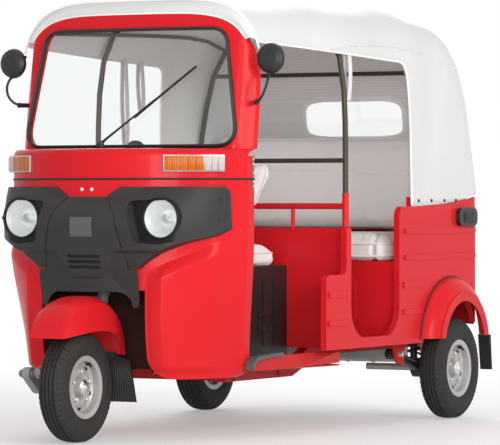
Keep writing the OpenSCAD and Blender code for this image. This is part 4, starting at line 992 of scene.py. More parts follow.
def foam(name, node, rings, voxel, swell, grooves):
    """A pad swollen by a cloth simulation from a smaller form, then pressed in along its seams."""
    made = add_piece(name, [sleeve(rings)], white_vinyl, "white_vinyl", smooth_faces=False)
    remesh = made.modifiers.new("cells", "REMESH")
    remesh.mode, remesh.voxel_size = "VOXEL", voxel
    graph = bpy.context.evaluated_depsgraph_get()
    made.data = bpy.data.meshes.new_from_object(made.evaluated_get(graph))
    made.modifiers.clear()
    start = np.array([v.co for v in made.data.vertices])
    cloth = made.modifiers.new("cover", "CLOTH")
    settings = cloth.settings
    settings.quality = 4
    settings.use_pressure, settings.uniform_pressure_force = True, 4.0
    settings.effector_weights.gravity = 0.0
    settings.tension_stiffness, settings.compression_stiffness = 12, 12
    settings.bending_stiffness = 0.6
    cloth.point_cache.frame_end = 20
    for k in range(1, 21):
        scene.frame_set(k)
    shown = made.evaluated_get(bpy.context.evaluated_depsgraph_get())
    now = np.array([v.co for v in shown.to_mesh().vertices])
    made.modifiers.clear()
    scene.frame_set(1)
    move = now - start
    far = np.linalg.norm(move, axis=1)[:, None]
    now = start + move * np.minimum(1, swell / np.maximum(far, 1e-9))
    low = start[:, 2].min()
    now[:, 2] = np.maximum(now[:, 2], low)
    normals = np.array([v.normal for v in made.data.vertices])
    for axis, place, width, depth, where in grooves:
        near = np.exp(-((now[:, axis] - place) / width) ** 2) * where(now)
        now = now - normals * (depth * near)[:, None]
    made.data.vertices.foreach_set("co", now.astype(np.float32).ravel())
    made.data.polygons.foreach_set("use_smooth", [True] * len(made.data.polygons))
    made.data.materials.clear()
    made.data.materials.append(white_vinyl.material)
    made.modifiers.new("soften", "SUBSURF").render_levels = 1
    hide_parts(node)
    return made


def on_skin(made, path, proud):
    """A path moved on to the skin of a finished pad, standing proud of it."""
    tree = BVHTree.FromPolygons([v.co for v in made.data.vertices],
                                [tuple(face.vertices) for face in made.data.polygons])
    moved = []
    for p in path:
        place, normal, _, _ = tree.find_nearest(Vector(p))
        moved.append(np.array(place + normal * proud))
    return moved


def box_rings(width, depth, low, high, corner, middle, crown):
    """Rings of a flat pad from its foot up, its top drawn in and crowned."""
    rings = []
    for z, pull in ((low, 0.012), (low + 0.010, 0.0), (high - 0.030, 0.0), (high - 0.010, 0.006),
                    (high, 0.022)):
        outline = rounded_corners(width - 2 * pull, depth - 2 * pull, corner, 8)
        rings.append([spot(u, middle + v, z) for u, v in outline])
    outline = rounded_corners(width - 0.16, depth - 0.16, 0.03, 8)
    rings.append([spot(u, middle + v, high + crown) for u, v in outline])
    return rings


def edge_path(width, depth, corner, middle, level):
    """The path of a welt round a flat pad."""
    return [spot(u, middle + v, level) for u, v in rounded_corners(width, depth, corner, 14)]


def everywhere(points):
    """A groove that runs all round."""
    return np.ones(len(points))


def top_only(level):
    """A groove that shows above a level."""
    return lambda points: np.clip((points[:, 2] - level) / 0.01, 0, 1)


driver_pad = foam("driver_cushion_cover", "driver_cushion",
                  box_rings(0.592, 0.352, 0.6405, 0.700, 0.050, 0.885, 0.006), 0.007, 0.020, [])
welt = on_skin(driver_pad, edge_path(0.61, 0.37, 0.055, 0.885, 0.700), 0.001)
add_piece("driver_cushion_welt", [tube(welt, 0.0035, 8, True)], white_vinyl, "white_vinyl")

back_y = 1.0258
back_outline = np.array([(-0.200, 0.858), (0.200, 0.858), (0.262, 1.000), (0.250, 1.040), (-0.250, 1.040),
                         (-0.262, 1.000)])
rest_outline = rounded_polygon(back_outline, 0.05)
rest_middle = rest_outline.mean(0)
rings = []
for behind, k in ((0.006, 0.86), (0.012, 0.95), (0.040, 0.95), (0.049, 0.88)):
    rings.append([spot(x, back_y + behind, z) for x, z in rest_middle + (rest_outline - rest_middle) * k])
driver_rest = foam("driver_backrest_cover", "driver_backrest", rings, 0.006, 0.014, [])
welt = [spot(p[0], back_y + 0.010, p[1]) for p in rest_middle + (rest_outline - rest_middle) * 0.97]
add_piece("driver_backrest_welt", [tube(on_skin(driver_rest, welt, 0.001), 0.003, 8, True)], white_vinyl,
          slot="white_vinyl")

bench_middle = 1.748
bolster = 0.445
grooves = [(0, s * bolster, 0.010, 0.012, everywhere) for s in (-1, 1)]
grooves += [(0, 0.0, 0.008, 0.008, top_only(0.70))]
bench = foam("passenger_cushion_cover", "passenger_cushion",
             box_rings(1.060, 0.420, 0.6505, 0.736, 0.060, bench_middle, 0.006), 0.009, 0.024, grooves)
for level, name in ((0.735, "passenger_cushion_welt"), (0.668, "passenger_cushion_foot_welt")):
    welt = on_skin(bench, edge_path(1.08, 0.44, 0.07, bench_middle, level), 0.001)
    add_piece(name, [tube(welt, 0.0038, 8, True)], white_vinyl, "white_vinyl")

back_foot = np.array((2.1717, 0.756))
side_corners = np.array([(-0.197, 0), (0, 0), (0, 0.104), (-0.100, 0.419), (-0.177, 0.419), (-0.207, 0.144)])
side_outline = rounded_polygon(back_foot + side_corners, 0.03)
side_middle = side_outline.mean(0)
rings = []
for x, k in ((-0.528, 0.80), (-0.518, 0.93), (-0.47, 0.96), (0.0, 0.96), (0.47, 0.96), (0.518, 0.93),
             (0.528, 0.80)):
    rings.append([spot(x, *(side_middle + (p - side_middle) * k)) for p in side_outline])
back_seam = 1.010
grooves = [(2, back_seam, 0.007, 0.008, everywhere)]
grooves += [(0, s * 0.435, 0.008, 0.007, lambda points: np.clip((back_seam - points[:, 2]) / 0.01, 0, 1))
            for s in (-1, 1)]
rest = foam("passenger_backrest_cover", "passenger_backrest", rings, 0.009, 0.016, grooves)
top_welt = on_skin(rest, [spot(x, 2.02, 1.178) for x in np.linspace(-0.52, 0.52, 60)], 0.001)
add_piece("passenger_backrest_welt", [tube(top_welt, 0.0038, 8)], white_vinyl, "white_vinyl")


# Hood bows and post sleeves.
# Bent tube bows in dark paint under the cloth; a red sleeve carries each foot of the hoop behind the
# driver on the body's post.
bow_paint = Finish("bow_paint", Roughness=0.4, Specular_IOR_Level=0.4)
wear = bow_paint.noise(20.0)
chip = bow_paint.noise(120.0, 4.0) > 0.68
whole = bow_paint.mix(wear, (0.026, 0.016, 0.008), (0.05, 0.034, 0.018))
bow_paint.toned(chip, whole, (0.10, 0.08, 0.06))
bow_paint.link("Roughness", 0.32 + wear * 0.2)
dress(bow_paint, "hood_bows")
smooth("hood_bows", angle=50)
sleeves = [turned([(0, 0.0135), (0.13, 0.0135), (0.134, 0.012)], spot(s * 0.561, 1.092, 0.789), (0, 0, 1), 24)
           for s in (-1, 1)]
add_piece("hoop_sleeves", sleeves, body_red, "red_paint")


# Hood.
# One stretched sheet of white coated cloth with a dotted grey lining, sewn to shape over the bows,
# buttoned along its foot and bound with white piping round its side openings.
hood_rows = np.array((
    # foot y, foot z, crown y, crown z, distance in from the body's side, squareness
    (0.470, 0.870, 0.470, 1.655, 0.035, 5.0),
    (0.7785, 0.870, 0.7785, 1.667, 0.012, 5.0),
    (1.090, 0.870, 1.090, 1.678, 0.001, 5.0),
    (1.450, 0.870, 1.480, 1.690, 0.0, 5.0),
    (1.640, 0.870, 1.720, 1.692, 0.0, 5.0),
    (1.760, 0.873, 1.900, 1.672, 0.0, 5.5),
    (1.860, 0.877, 2.065, 1.630, 0.0, 6.0),
    (1.950, 0.882, 2.140, 1.555, 0.0, 7.0),
    (2.030, 0.888, 2.200, 1.420, 0.0, 8.0),
    (2.090, 0.895, 2.240, 1.180, 0.0, 10.0),
    (2.150, 0.902, 2.285, 0.925, 0.0, 12.0)))
body_half = 0.580
bow_rows = (0, 2, 4, 6, 10)


def between_rows(v):
    """The arch at a place between the table's rows, on a smooth curve through them."""
    k = min(int(v), len(hood_rows) - 2)
    t = v - k
    a, b = hood_rows[k], hood_rows[k + 1]
    before = hood_rows[max(k - 1, 0)]
    after = hood_rows[min(k + 2, len(hood_rows) - 1)]
    slope_a, slope_b = (b - before) / 2, (after - a) / 2
    return ((2 * t ** 3 - 3 * t ** 2 + 1) * a + (t ** 3 - 2 * t ** 2 + t) * slope_a
            + (-2 * t ** 3 + 3 * t ** 2) * b + (t ** 3 - t ** 2) * slope_b)


def sag(v, angle):
    """How far the cloth hangs in between two bows, most over the roof and its shoulders."""
    for a, b in zip(bow_rows, bow_rows[1:]):
        if a <= v <= b:
            most = 0.0033 if b == bow_rows[-1] else 0.011
            return most * math.sin(math.pi * (v - a) / (b - a)) ** 2 * math.sin(angle) ** 0.6
    return 0.0


def hood_point(v, angle, inset):
    """A point of the cloth: v along the rows, angle over the arch from the left foot to the right."""
    foot_y, foot_z, crown_y, crown_z, narrow, power = between_rows(v)
    c, s = math.cos(angle), math.sin(angle)
    r = (abs(c) ** power + abs(s) ** power) ** (-1 / power)
    height = math.hypot(crown_y - foot_y, crown_z - foot_z)
    drop = inset + sag(v, max(angle, 0) if s > 0 else 0)
    share = (height - drop) * r * max(s, 0) / height
    return spot((body_half - narrow - drop) * r * c, foot_y + (crown_y - foot_y) * share,
                foot_z + (crown_z - foot_z) * share)


edge_front, edge_corner, edge_foot, edge_round = (0.400, 1.493), (1.616, 1.447), (1.640, 0.800), 0.055


def opening_edge(count=40):
    """The edge of the side opening in side view, from the front along the roof and down the flap."""
    a, c, b = (np.array(p) for p in (edge_front, edge_corner, edge_foot))
    start, end = (c + (far - c) * edge_round / np.linalg.norm(far - c) for far in (a, b))
    turn = curve([start, c, end], 14)
    return np.vstack([np.linspace(a, start, count)[:-1], turn, np.linspace(end, b, count)[1:]])


opening = opening_edge()
roof_run, flap_run = slice(0, 54), slice(30, None)
rows = np.concatenate([np.linspace(k, k + 1, 13)[:-1] for k in range(6)] + [np.linspace(6, 10, 41)])
turns = np.linspace(0, math.pi, 141)
turns = turns + 0.16 * np.sin(4 * turns)
grid = np.array([[hood_point(v, a, 0.0) for a in turns] for v in rows])
window_x, window_z, window_size = 0.020, 1.240, (0.480, 0.170)
rear_slope, lining_gap, ripple_deep, roof_level = 0.16, 0.0034, 0.0022, 1.5
lining_grid = np.array([[hood_point(v, a, lining_gap) for a in turns] for v in rows])
side_view = np.stack([grid[..., 1] - front_axle, grid[..., 2]], -1)


def cut_away(y, z):
    """True where the side opening takes the cloth away."""
    line_z = np.interp(y, opening[roof_run, 0], opening[roof_run, 1])
    flap_y = np.interp(-z, -opening[flap_run, 1], opening[flap_run, 0])
    return z < line_z and y < flap_y


def window_share(x, z):
    """Below 1 inside the rear window's rounded outline."""
    return (abs((x - window_x) / (window_size[0] / 2)) ** 6 + abs((z - window_z) / (window_size[1] / 2)) ** 4)


def window_outline(count):
    """Points (x, z) around the rear window."""
    around = []
    for a in np.linspace(0, 2 * math.pi, count, endpoint=False):
        c, s = math.cos(a), math.sin(a)
        around.append((window_x + window_size[0] / 2 * math.copysign(abs(c) ** (1 / 3), c),
                       window_z + window_size[1] / 2 * math.copysign(abs(s) ** (1 / 2), s)))
    return np.array(around)


def ripple(p):
    """How far the worn cloth lies off its drawn shape, most on the roof."""
    wide, fine = (noise.noise(Vector(p * stretch)) for stretch in ((3, 5, 3), (9, 4, 9)))
    wave = wide + 0.5 * fine
    return np.array((0, 0, ripple_deep * wave * (1 if p[2] > roof_level else 0.2)))


gone = np.array([[cut_away(*side_view[i, j]) for j in range(len(turns))] for i in range(len(rows))])
behind_rear = np.array(rows)[:, None] > 7.0
in_window = np.array([[window_share(p[0], p[2]) < 1 for p in row] for row in grid]) & behind_rear
keep = [(i, j) for i in range(len(rows) - 1) for j in range(len(turns) - 1)
        if not all(gone[i + a, j + b] for a in (0, 1) for b in (0, 1))
        and not all(in_window[i + a, j + b] for a in (0, 1) for b in (0, 1))]
window_edge = window_outline(2000)
for i in range(len(rows)):
    for j in range(len(turns)):
        if gone[i, j]:
            near = opening[np.argmin(np.linalg.norm(opening - side_view[i, j], axis=1))]
            for sheet in (grid, lining_grid):
                sheet[i, j, 1], sheet[i, j, 2] = front_axle + near[0], near[1]
        elif in_window[i, j]:
            near = window_edge[np.argmin(np.linalg.norm(window_edge - grid[i, j, ::2], axis=1))]
            for sheet in (grid, lining_grid):
                sheet[i, j, 1] -= rear_slope * (near[1] - sheet[i, j, 2])
                sheet[i, j, ::2] = near
for i in range(len(rows)):
    for j in range(len(turns)):
        if not gone[i, j] and not in_window[i, j]:
            grid[i, j] += ripple(grid[i, j])

hood_white = Finish("hood_vinyl", Roughness=0.45, Specular_IOR_Level=0.3)
hood_tone = hood_white.noise(2.5, 3.0)
hood_dust = hood_white.noise(22.0, 5.0)
hood_white.toned(hood_tone * 0.7 + hood_dust * 0.3, (0.61, 0.605, 0.60), (0.69, 0.686, 0.68))
hood_white.link("Roughness", 0.40 + hood_tone * 0.15)
hood_white.bump(hood_white.cells(900.0), 0.05, 0.0005)
lining = Finish("hood_lining", Roughness=0.7, Specular_IOR_Level=0.2)
pitch = 0.0125
across_cloth, along_cloth = (lining.axis(letter, "UV") / pitch for letter in "XY")
row_shift = ((along_cloth * 0.5) % 1.0 > 0.5) * 0.5
du, dv = (across_cloth + row_shift) % 1.0 - 0.5, along_cloth % 1.0 - 0.5
dots = du * du + dv * dv < 0.055
felt = lining.noise(30.0, 4.0)
lining.toned(dots, lining.mix(felt, (0.74, 0.74, 0.73), (0.80, 0.80, 0.79)), (0.93, 0.93, 0.92))
lining.bump(dots, 0.3, 0.0008)

kept_cells = set(keep)


def cloth_keep(i, j):
    """True for the cells of the cloth that are not cut out."""
    return (i, j) in kept_cells


hood = add_piece("hood_cloth", [shell(grid, lining_grid, cloth_keep)], hood_white, "hood_vinyl",
                 smooth_faces=False)
hood.data.polygons.foreach_set("use_smooth", [True] * len(hood.data.polygons))
hood.data.materials.append(lining.material)
inside = [1 if len(keep) <= k < 2 * len(keep) else 0 for k in range(len(hood.data.polygons))]
hood.data.polygons.foreach_set("material_index", inside)
crown = len(turns) // 2
arc = np.cumsum(np.linalg.norm(np.diff(lining_grid, axis=1, prepend=lining_grid[:, :1]), axis=2), axis=1)
arc -= arc[:, crown:crown + 1]
crown_line = lining_grid[:, crown]
run = np.cumsum(np.linalg.norm(np.diff(crown_line, axis=0, prepend=crown_line[:1]), axis=1))
flat_cloth = np.dstack([arc, np.broadcast_to(run[:, None], arc.shape), np.zeros(arc.shape)])
spread = shell(flat_cloth, flat_cloth, cloth_keep)[0]
cloth_map = hood.data.uv_layers.new(name="cloth")
for loop in hood.data.loops:
    cloth_map.data[loop.index].uv = spread[loop.vertex_index][:2]
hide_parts("hood")


def arch_y(v, z):
    """How far back the arch at v stands at a height."""
    foot_y, foot_z, crown_y, crown_z = between_rows(v)[:4]
    return foot_y + (crown_y - foot_y) * (z - foot_z) / (crown_z - foot_z)


piping = []
seam_line = (  # distance behind the front axle, height of the sewn seam
    (0.97, 1.474), (1.15, 1.497), (1.36, 1.508), (1.58, 1.508), (1.80, 1.485), (2.03, 1.440))
for s in (-1, 1):
    edge = []
    for y, z in opening:
        if y < 0.47 or z < 0.872:
            continue
        v = min(np.linspace(0, 5.2, 400), key=lambda w: abs(arch_y(w, z) - y))
        row = between_rows(v)
        rise = min(0.999, (z - row[1]) / (row[3] - row[1]))
        edge.append(spot(s * (body_half - row[4] + 0.0005) * (1 - rise ** row[5]) ** (1 / row[5]), y, z))
    piping.append(tube(edge, 0.0045, 8))
    seam = []
    for v in np.linspace(1.7, 7.6, 90):
        bends = [hood_point(v, a, -0.001) for a in np.linspace(0.35, 1.2, 160)]
        best = min(bends, key=lambda p: abs(p[2] - np.interp(p[1] - front_axle, *zip(*seam_line))))
        seam.append(best * (s, 1, 1) + ripple(best * (s, 1, 1)))
    piping.append(tube(seam, 0.0018, 6, wide=3.0))
front_edge = [hood_point(0, a, -0.001) for a in turns if math.sin(a) > 0.62]
piping.append(tube(front_edge, 0.0045, 8))
piping.append(tube([hood_point(10, a, -0.002) for a in turns], 0.004, 8))
for v in (2, 4.2, 6):
    piping.append(tube([hood_point(v, a, -0.0006) for a in turns if math.sin(a) > 0.80], 0.0012, 6, wide=6.0))
white_piping = Finish("white_piping", Roughness=0.35, Specular_IOR_Level=0.4)
cord_tone = white_piping.noise(60.0)
white_piping.toned(cord_tone, (0.80, 0.80, 0.795), (0.88, 0.88, 0.875))
white_piping.bump(white_piping.waves("DIAGONAL", 120.0), 0.15, 0.0006)
binding = add_piece("hood_piping", piping, white_piping, "hood_vinyl")

snaps = []
for s in (-1, 1):
    for y in (1.70, 1.82, 1.94, 2.05):
        snaps.append(turned([(0, 0.0065), (0.003, 0.0065), (0.0045, 0.004), (0.005, 0.001)],
                            spot(s * 0.5805, y, 0.893), (s, 0, 0), 16))
    front_snap = hood_point(0.06, 0.66 if s > 0 else math.pi - 0.66, 0)
    snaps.append(turned([(0, 0.0065), (0.003, 0.0065), (0.005, 0.001)], front_snap, (s, 0, 0.3), 16))
add_piece("hood_snaps", snaps, black_plastic, "black_plastic")


# Visor over the windscreen.
# A short sewn piece of the same cloth that fills the forehead between the windscreen frame and the
# hood's first bow, piped along its lower edge.
shares = [0.925 * math.cos(a) for a in np.linspace(0, math.pi, 61)]
low_edge, high_edge = [], []
for f in shares:
    x, z = f * frame_half, arch_foot + squircle_rise(f) * arch_rise + 0.001
    low_edge.append(on_screen(x, z, -frame_wrap(x) - 0.006))
    high_edge.append(spot(f * 0.545, 0.4695, 0.870 + squircle_rise(f) * 0.785))
low_edge, high_edge = np.array(low_edge), np.array(high_edge)
bulge = np.array((0, -0.012, 0.006))
skins = []
for sink in (0.0, 0.004):
    under = np.array((0, sink, -0.6 * sink))
    skins.append([low_edge + (high_edge - low_edge) * t + bulge * 4 * t * (1 - t) + under
                  for t in np.linspace(0, 1, 9)])
visor = add_piece("visor_cloth", [shell(*skins)], hood_white, "hood_vinyl", stands_for="hood_visor")
visor_edge = add_piece("visor_piping", [tube(low_edge + (0, -0.003, 0), 0.0042, 8)], white_piping,
                       "hood_vinyl")


# Straps and rear window.
# Flat white webbing hangs from the hood's edge to tie the rolled side curtains; the rear pane is a
# soft clear sheet sewn into the cloth behind a white hem.
webbing = Finish("white_webbing", Roughness=0.7)
yarn = webbing.waves("Z", 260.0)
webbing.toned(yarn, (0.66, 0.65, 0.63), (0.80, 0.79, 0.77))
webbing.bump(yarn, 0.4, 0.0008)


def strap(name, path, width, across):
    """Flat webbing along a path."""
    across = np.array(across) * width / 2
    rings = []
    for k, p in enumerate(path):
        ahead = path[min(k + 1, len(path) - 1)] - path[max(k - 1, 0)]
        thick = np.cross(ahead, across)
        thick *= 0.0008 / np.linalg.norm(thick)
        rings.append([p - across - thick, p + across - thick, p + across + thick, p - across + thick])
    made = add_piece(name, [sleeve(rings)], webbing, "hood_vinyl")
    return made


for name, side, y, low in (("strap_left", 1, 1.150, 1.285), ("strap_right_front", -1, 1.265, 1.120),
                           ("strap_right_back", -1, 1.392, 1.262)):
    top, x = 1.470, side * 0.547
    fold = spot(x - side * 0.004, y + 0.004, low)
    down = curve([spot(x, y, top), spot(x + side * 0.012, y, (top + low) / 2), fold], 24)
    up = curve([fold, spot(x - side * 0.022, y + 0.003, low - 0.012),
                spot(x - side * 0.026, y + 0.002, low + 0.05), spot(x - side * 0.012, y, top)], 30)
    path = np.vstack([down, up[1:]])
    length = float(np.linalg.norm(np.diff(path, axis=0), axis=1).sum())
    strap(name, path, 0.030, (0, 1, 0))
soft_pane = clear_pane("soft_window", (0.96, 0.965, 0.96), 0.8)
dress(soft_pane, "rear_window")
smooth("rear_window")
window_hems = ([], [])
for x, z in window_outline(80):
    v = min(np.linspace(7.5, 10, 200), key=lambda w: abs(hood_point(w, math.pi / 2, 0)[2] - z))
    for hem, inset in zip(window_hems, (-0.0008, 0.0042)):
        hem.append(hood_point(v, math.atan2(1.0, x / body_half), inset))
hem_piece = add_piece("rear_window_hem", [tube(hem, 0.002, 6, True, wide=5.0) for hem in window_hems],
                      white_piping, "hood_vinyl")


# Tail.
# A pressed panel with a hinged, slotted lid and its turn handle, lamp clusters on black bases, a
# plastic bumper, moulded air scoops on the quarters and a rubber bead along each mudguard's joint.
dress(black_plastic, "rear_bumper", "air_scoops")
smooth("rear_bumper", "air_scoops")
tail = 2.300
lamp_bases, red_blocks, amber_blocks, clear_blocks = [], [], [], []
tail_lamp_x, tail_lamp_z = 0.440, 0.640
lens_table = (  # lenses, height over the lamp's middle, how tall
    (amber_blocks, 0.068, 0.060), (red_blocks, 0.0, 0.066), (clear_blocks, -0.068, 0.060))


def on_tail(side, u, v, out):
    """A point about a tail lamp's middle."""
    return spot(side * tail_lamp_x + u, tail + out, tail_lamp_z + v)


for s in (-1, 1):
    lamp_bases.append(pad(0.090, 0.210, 0.0004, 0.012, 0.004, lambda u, v, out: on_tail(s, u, v, out)))
    for blocks, up, tall in lens_table:
        blocks.append(pad(0.080, tall, 0.011, 0.0255, 0.008,
                          lambda u, v, out: on_tail(s, u, up + v, out), 4, 4))
red_lens = lens_finish("red_lens", (0.30, 0.004, 0.008), (0.55, 0.012, 0.016), "Z")
for name, parts, finish, slot in (("tail_lamp_bases", lamp_bases, black_plastic, "black_plastic"),
                                  ("tail_lamp_red", red_blocks, red_lens, "red_lens"),
                                  ("tail_lamp_amber", amber_blocks, amber, "amber_lens"),
                                  ("tail_lamp_clear", clear_blocks, clear_lens, "lamp_lens")):
    add_piece(name, parts, finish, slot, stands_for="tail_lamps")
handle_z = 0.625
boss = turned([(0, 0.022), (0.006, 0.022), (0.010, 0.016), (0.016, 0.010), (0.017, 0.002)],
              spot(0, tail, handle_z), backwards, 32)
grip = [spot(x, tail + out, handle_z) for x, out in ((-0.032, 0.018), (0, 0.020), (0.032, 0.018))]
handle = [boss, tube(grip, [0.006, 0.008, 0.006], 12, wide=0.6)]
add_piece("lid_handle", handle, black_plastic, "black_plastic", body="lid")
scoop_long = 0.090


def scooped(side, u, v, out):
    """A point of an air scoop's cover, which rises and widens towards the tail."""
    share = 0.5 + u / scoop_long
    return spot(side * (0.600 + out * (0.25 + 0.75 * share)), 2.140 + u, 0.825 + v * (0.85 + 0.15 * share))


wedges = [pad(scoop_long, 0.048, -0.001, 0.015, 0.008, lambda u, v, out: scooped(s, u, v, out), 4, 4)
          for s in (-1, 1)]
add_piece("scoop_wedges", wedges, black_plastic, "black_plastic")
wheelbase, guard_z, guard_radius = 2.0, 0.292, 0.2885
beads = []
for s in (-1, 1):
    joint = [spot(s * 0.5815, wheelbase + guard_radius * math.cos(a), guard_z + guard_radius * math.sin(a))
             for a in np.radians(np.linspace(8.7, 171.3, 60))]
    beads.append(tube(joint, 0.0045, 8))
add_piece("mudguard_beads", beads, black_rubber, "black_rubber")
dress(black_rubber, "rear_flaps")
flap_screws = [screw(spot(s * x, 2.2825, 0.318), (0, 1, 0.05), 0.006)
               for s in (-1, 1) for x in (0.594, 0.621)]
add_piece("flap_screws", flap_screws, bright_steel, "bare_steel")


# Engine and running gear.
# A cast engine block with cooling fins, a pressed steel silencer with rolled seams, black arms and
# dampers with coil springs.
alloy = Finish("engine_alloy", Metallic=0.7, Roughness=0.5)
sand = alloy.noise(140.0, 4.0)
oil = alloy.noise(5.0, 4.0)
alloy.toned(oil * 0.6, alloy.mix(sand, (0.30, 0.30, 0.30), (0.42, 0.42, 0.41)), (0.06, 0.05, 0.04))
alloy.link("Roughness", 0.4 + sand * 0.25)
alloy.bump(sand, 0.3, 0.001)
dress(alloy, "engine")
fins = []
for s in (-1, 1):
    for k in range(12):
        fins.append(pad(0.330, 0.006, 0.0, 0.020, 0.002,
                        lambda u, v, out: spot(s * (0.190 + out), 2.030 + u, 0.290 + 0.021 * k + v)))
add_piece("engine_fins", fins, alloy, "engine_alloy")
steel = Finish("bare_steel", Metallic=0.85, Roughness=0.4)
spangle = steel.cells(130.0)
rust = steel.noise(11.0, 5.0)
steel.toned(rust * 0.5, steel.mix(spangle, (0.34, 0.34, 0.35), (0.50, 0.50, 0.51)), (0.10, 0.06, 0.04))
steel.link("Roughness", 0.35 + rust * 0.25)
dress(steel, "silencer")
smooth("silencer", "trailing_arms", "rear_dampers", angle=40)
can_y, can_z, can_radius = 2.292, 0.258, 0.051
seams = []
for x in (-0.150, -0.040, 0.080, 0.210):
    hoop = [spot(x, can_y + can_radius * math.cos(a), can_z + can_radius * math.sin(a))
            for a in np.linspace(0, 2 * math.pi, 40, endpoint=False)]
    seams.append(tube(hoop, 0.003, 8, True))
add_piece("silencer_seams", seams, steel, "bare_steel")
dress(black_plastic, "trailing_arms", "rear_dampers")
springs = []
damper_x, damper_y, coil_radius, coil_foot, coil_tall, coil_turns = 0.449, 1.9256, 0.026, 0.262, 0.136, 6
for s in (-1, 1):
    coil = [spot(s * damper_x + coil_radius * math.cos(a), damper_y + coil_radius * math.sin(a),
                 coil_foot + coil_tall * a / (2 * coil_turns * math.pi))
            for a in np.linspace(0, 2 * coil_turns * math.pi, 220)]
    springs.append(tube(coil, 0.0045, 8))
add_piece("damper_springs", springs, black_plastic, "black_plastic")
pivots = []
for s in (-1, 1):
    pivots += nut(spot(s * 0.506, 1.690, 0.272), (s, 0, 0), 0.013, 0.012)
add_piece("arm_pivot_nuts", pivots, bright_steel, "bare_steel")


# Front fork, link, mudguard flap.
# A tube fork with one leg to the wheel's right side and a pressed link on a pivot, both in grey
# paint; a ribbed rubber flap hangs behind the wheel.
fork_grey = Finish("fork_grey", Metallic=0.4, Roughness=0.42)
fork_tone = fork_grey.noise(16.0, 4.0)
fork_grey.toned(fork_tone, (0.20, 0.20, 0.20), (0.36, 0.355, 0.35), (0.34, 0.2))
dress(fork_grey, "steering_fork", "front_link")
smooth("steering_fork", "front_link", angle=40)
link_nuts = [part for y, z, r in ((-0.066, 0.254, 0.014), (0.0, 0.205, 0.017))
             for part in nut(spot(-0.178 if r > 0.015 else -0.186, y, z), (-1, 0, 0), r, 0.014)]
add_piece("link_nuts", link_nuts, plate_steel, "bare_steel", body="steering")
flap_top = (0.2459, 0.327)
flap_widths = (  # height from the flap's top, half width
    (0.0, 0.024), (-0.014, 0.026), (-0.030, 0.090), (-0.187, 0.124))
lean = math.radians(4)
flap_levels = np.concatenate([[0, -0.014, -0.022, -0.030], np.linspace(-0.05, -0.187, 12)])
flap_columns = np.linspace(-1, 1, 133)
rib_deep, ribs_across, flap_half_thick, ribs_start = 0.0016, 22, 0.0025, -0.035
flap_sides = []
for face in (-1, 1):
    side = []
    for drop in flap_levels:
        half = float(np.interp(-drop, [-w[0] for w in flap_widths], [w[1] for w in flap_widths]))
        row = []
        for c in flap_columns:
            rib = rib_deep * math.cos(ribs_across * math.pi * c) if drop < ribs_start and face < 0 else 0.0
            depth = face * (flap_half_thick + rib * 0.7)
            row.append(spot(c * half, flap_top[0] + depth * math.cos(lean) + drop * math.sin(lean),
                            flap_top[1] + drop * math.cos(lean)))
        side.append(row)
    flap_sides.append(side)
add_piece("front_flap_rubber", [shell(*flap_sides)], black_rubber, "black_rubber", body="steering",
          stands_for="front_flap")


# Wheels.
# Cross-ply tyres with four grooves round the tread and cut shoulders, on pressed steel wheels sprayed
# silver, each held by five nuts round a grease cap, with a rubber valve through the rim.
tyre_black = Finish("tyre_black", Roughness=0.75, Specular_IOR_Level=0.3)
dirt = tyre_black.noise(18.0, 4.0)
tyre_black.toned(dirt, (0.012, 0.011, 0.010), (0.034, 0.031, 0.028), (0.6, 0.25))
tyre_black.bump(tyre_black.noise(260.0, 3.0), 0.15, 0.001)
silver = Finish("wheel_silver", Metallic=0.35, Roughness=0.38)
film = silver.noise(22.0, 4.0)
brake_dust = silver.noise(7.0, 5.0)
clean = silver.mix(film, (0.42, 0.41, 0.40), (0.56, 0.55, 0.54))
silver.toned(brake_dust * 0.45, clean, (0.15, 0.135, 0.125))
silver.link("Roughness", 0.30 + film * 0.2)
half_tread = (  # offset from the middle, radius, depth of the shoulder cuts
    (0.0, 0.2050, 0), (0.0060, 0.2049, 0), (0.0068, 0.1985, 0), (0.0100, 0.1985, 0), (0.0108, 0.2046, 0),
    (0.0215, 0.2036, 0), (0.0224, 0.1975, 0), (0.0256, 0.1970, 0), (0.0264, 0.2028, 0), (0.0320, 0.2015, 0),
    (0.0335, 0.2008, 0.0045), (0.0400, 0.1950, 0.0045), (0.0455, 0.1880, 0.0035), (0.0490, 0.1800, 0.0020),
    (0.0505, 0.1760, 0), (0.0515, 0.1700, 0), (0.0530, 0.1560, 0), (0.0534, 0.1470, 0), (0.0522, 0.1380, 0),
    (0.0528, 0.1360, 0), (0.0522, 0.1340, 0), (0.0490, 0.1250, 0), (0.0455, 0.1185, 0), (0.0395, 0.1178, 0),
    (0.0365, 0.1020, 0))
tread = [(-o, r, c) for o, r, c in half_tread[:0:-1]] + list(half_tread)
cuts_round, steps_each = 58, 5


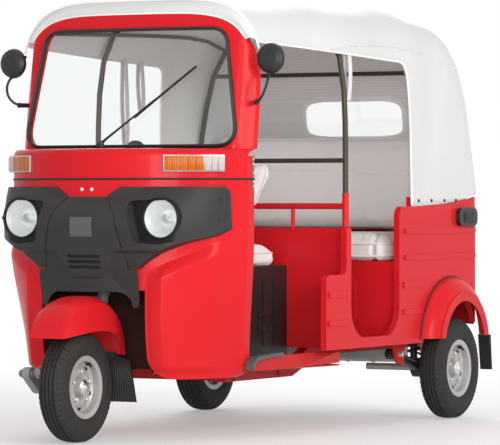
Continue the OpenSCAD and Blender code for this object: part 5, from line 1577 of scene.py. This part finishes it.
def tyre_part(middle):
    """A tyre's skin: the tread's section turned about the axle, its shoulders cut at even steps."""
    rings = []
    for k in range(cuts_round * steps_each):
        a = 2 * math.pi * k / (cuts_round * steps_each)
        cut = 1 if k % steps_each < 2 else 0
        zigzag = 0.0012 * (1 if k % steps_each < 3 else -1)
        ring = []
        for offset, radius, depth in tread:
            r = radius - depth * cut
            o = offset + (zigzag if abs(offset) < 0.031 and offset else 0)
            ring.append(middle + np.array((o, r * math.cos(a), r * math.sin(a))))
        rings.append(ring)
    return sleeve(rings, closed_path=True)


def round_axle(radius, angle):
    """A step out from the wheel's axis."""
    return radius * np.array((0, math.cos(angle), math.sin(angle)))


axle_z, half_track, nut_count = 0.205, 0.575, 5
wheels = (("front", spot(0, 0, axle_z), 1), ("rear_left", spot(half_track, wheelbase, axle_z), 1),
          ("rear_right", spot(-half_track, wheelbase, axle_z), -1))
for name, middle, out in wheels:
    body = f"{name}_wheel"
    add_piece(f"{name}_tyre_tread", [tyre_part(middle)], tyre_black, "tyre_rubber", body=body,
              stands_for=f"{name}_tyre")
    dress(silver, f"{name}_rim")
    smooth(f"{name}_rim", angle=40)
    axis = np.array((out, 0, 0))
    nuts, vents = [], []
    for k in range(nut_count):
        a = 2 * math.pi * k / nut_count + 0.3
        nuts += nut(middle + axis * 0.021 + round_axle(0.058, a), axis, 0.0085, 0.010)
        # Each vent is a thin near-black disc: painted shade where the wheel's vent hole is.
        vent = middle + axis * 0.0148 + round_axle(0.079, a + math.pi / nut_count)
        vents.append(turned([(0, 0.009), (0.0012, 0.009), (0.0014, 0.001)], vent, axis, 20))
    cap = turned([(0.030, 0.029), (0.038, 0.028), (0.043, 0.022), (0.044, 0.012), (0.047, 0.010),
                  (0.048, 0.002)], middle, axis, 32)
    add_piece(f"{name}_wheel_nuts", nuts + [cap], bright_steel, "bare_steel", body=body)
    valve_foot = middle + axis * 0.020 + round_axle(0.093, 1.1)
    valve_tip = valve_foot + axis * 0.026 + np.array((0, -0.004, -0.008))
    valve = tube([valve_foot, valve_foot + axis * 0.014, valve_tip], [0.005, 0.004, 0.0035], 10)
    add_piece(f"{name}_wheel_vents", vents + [valve], black_and_painted_shade, "black_rubber", body=body)
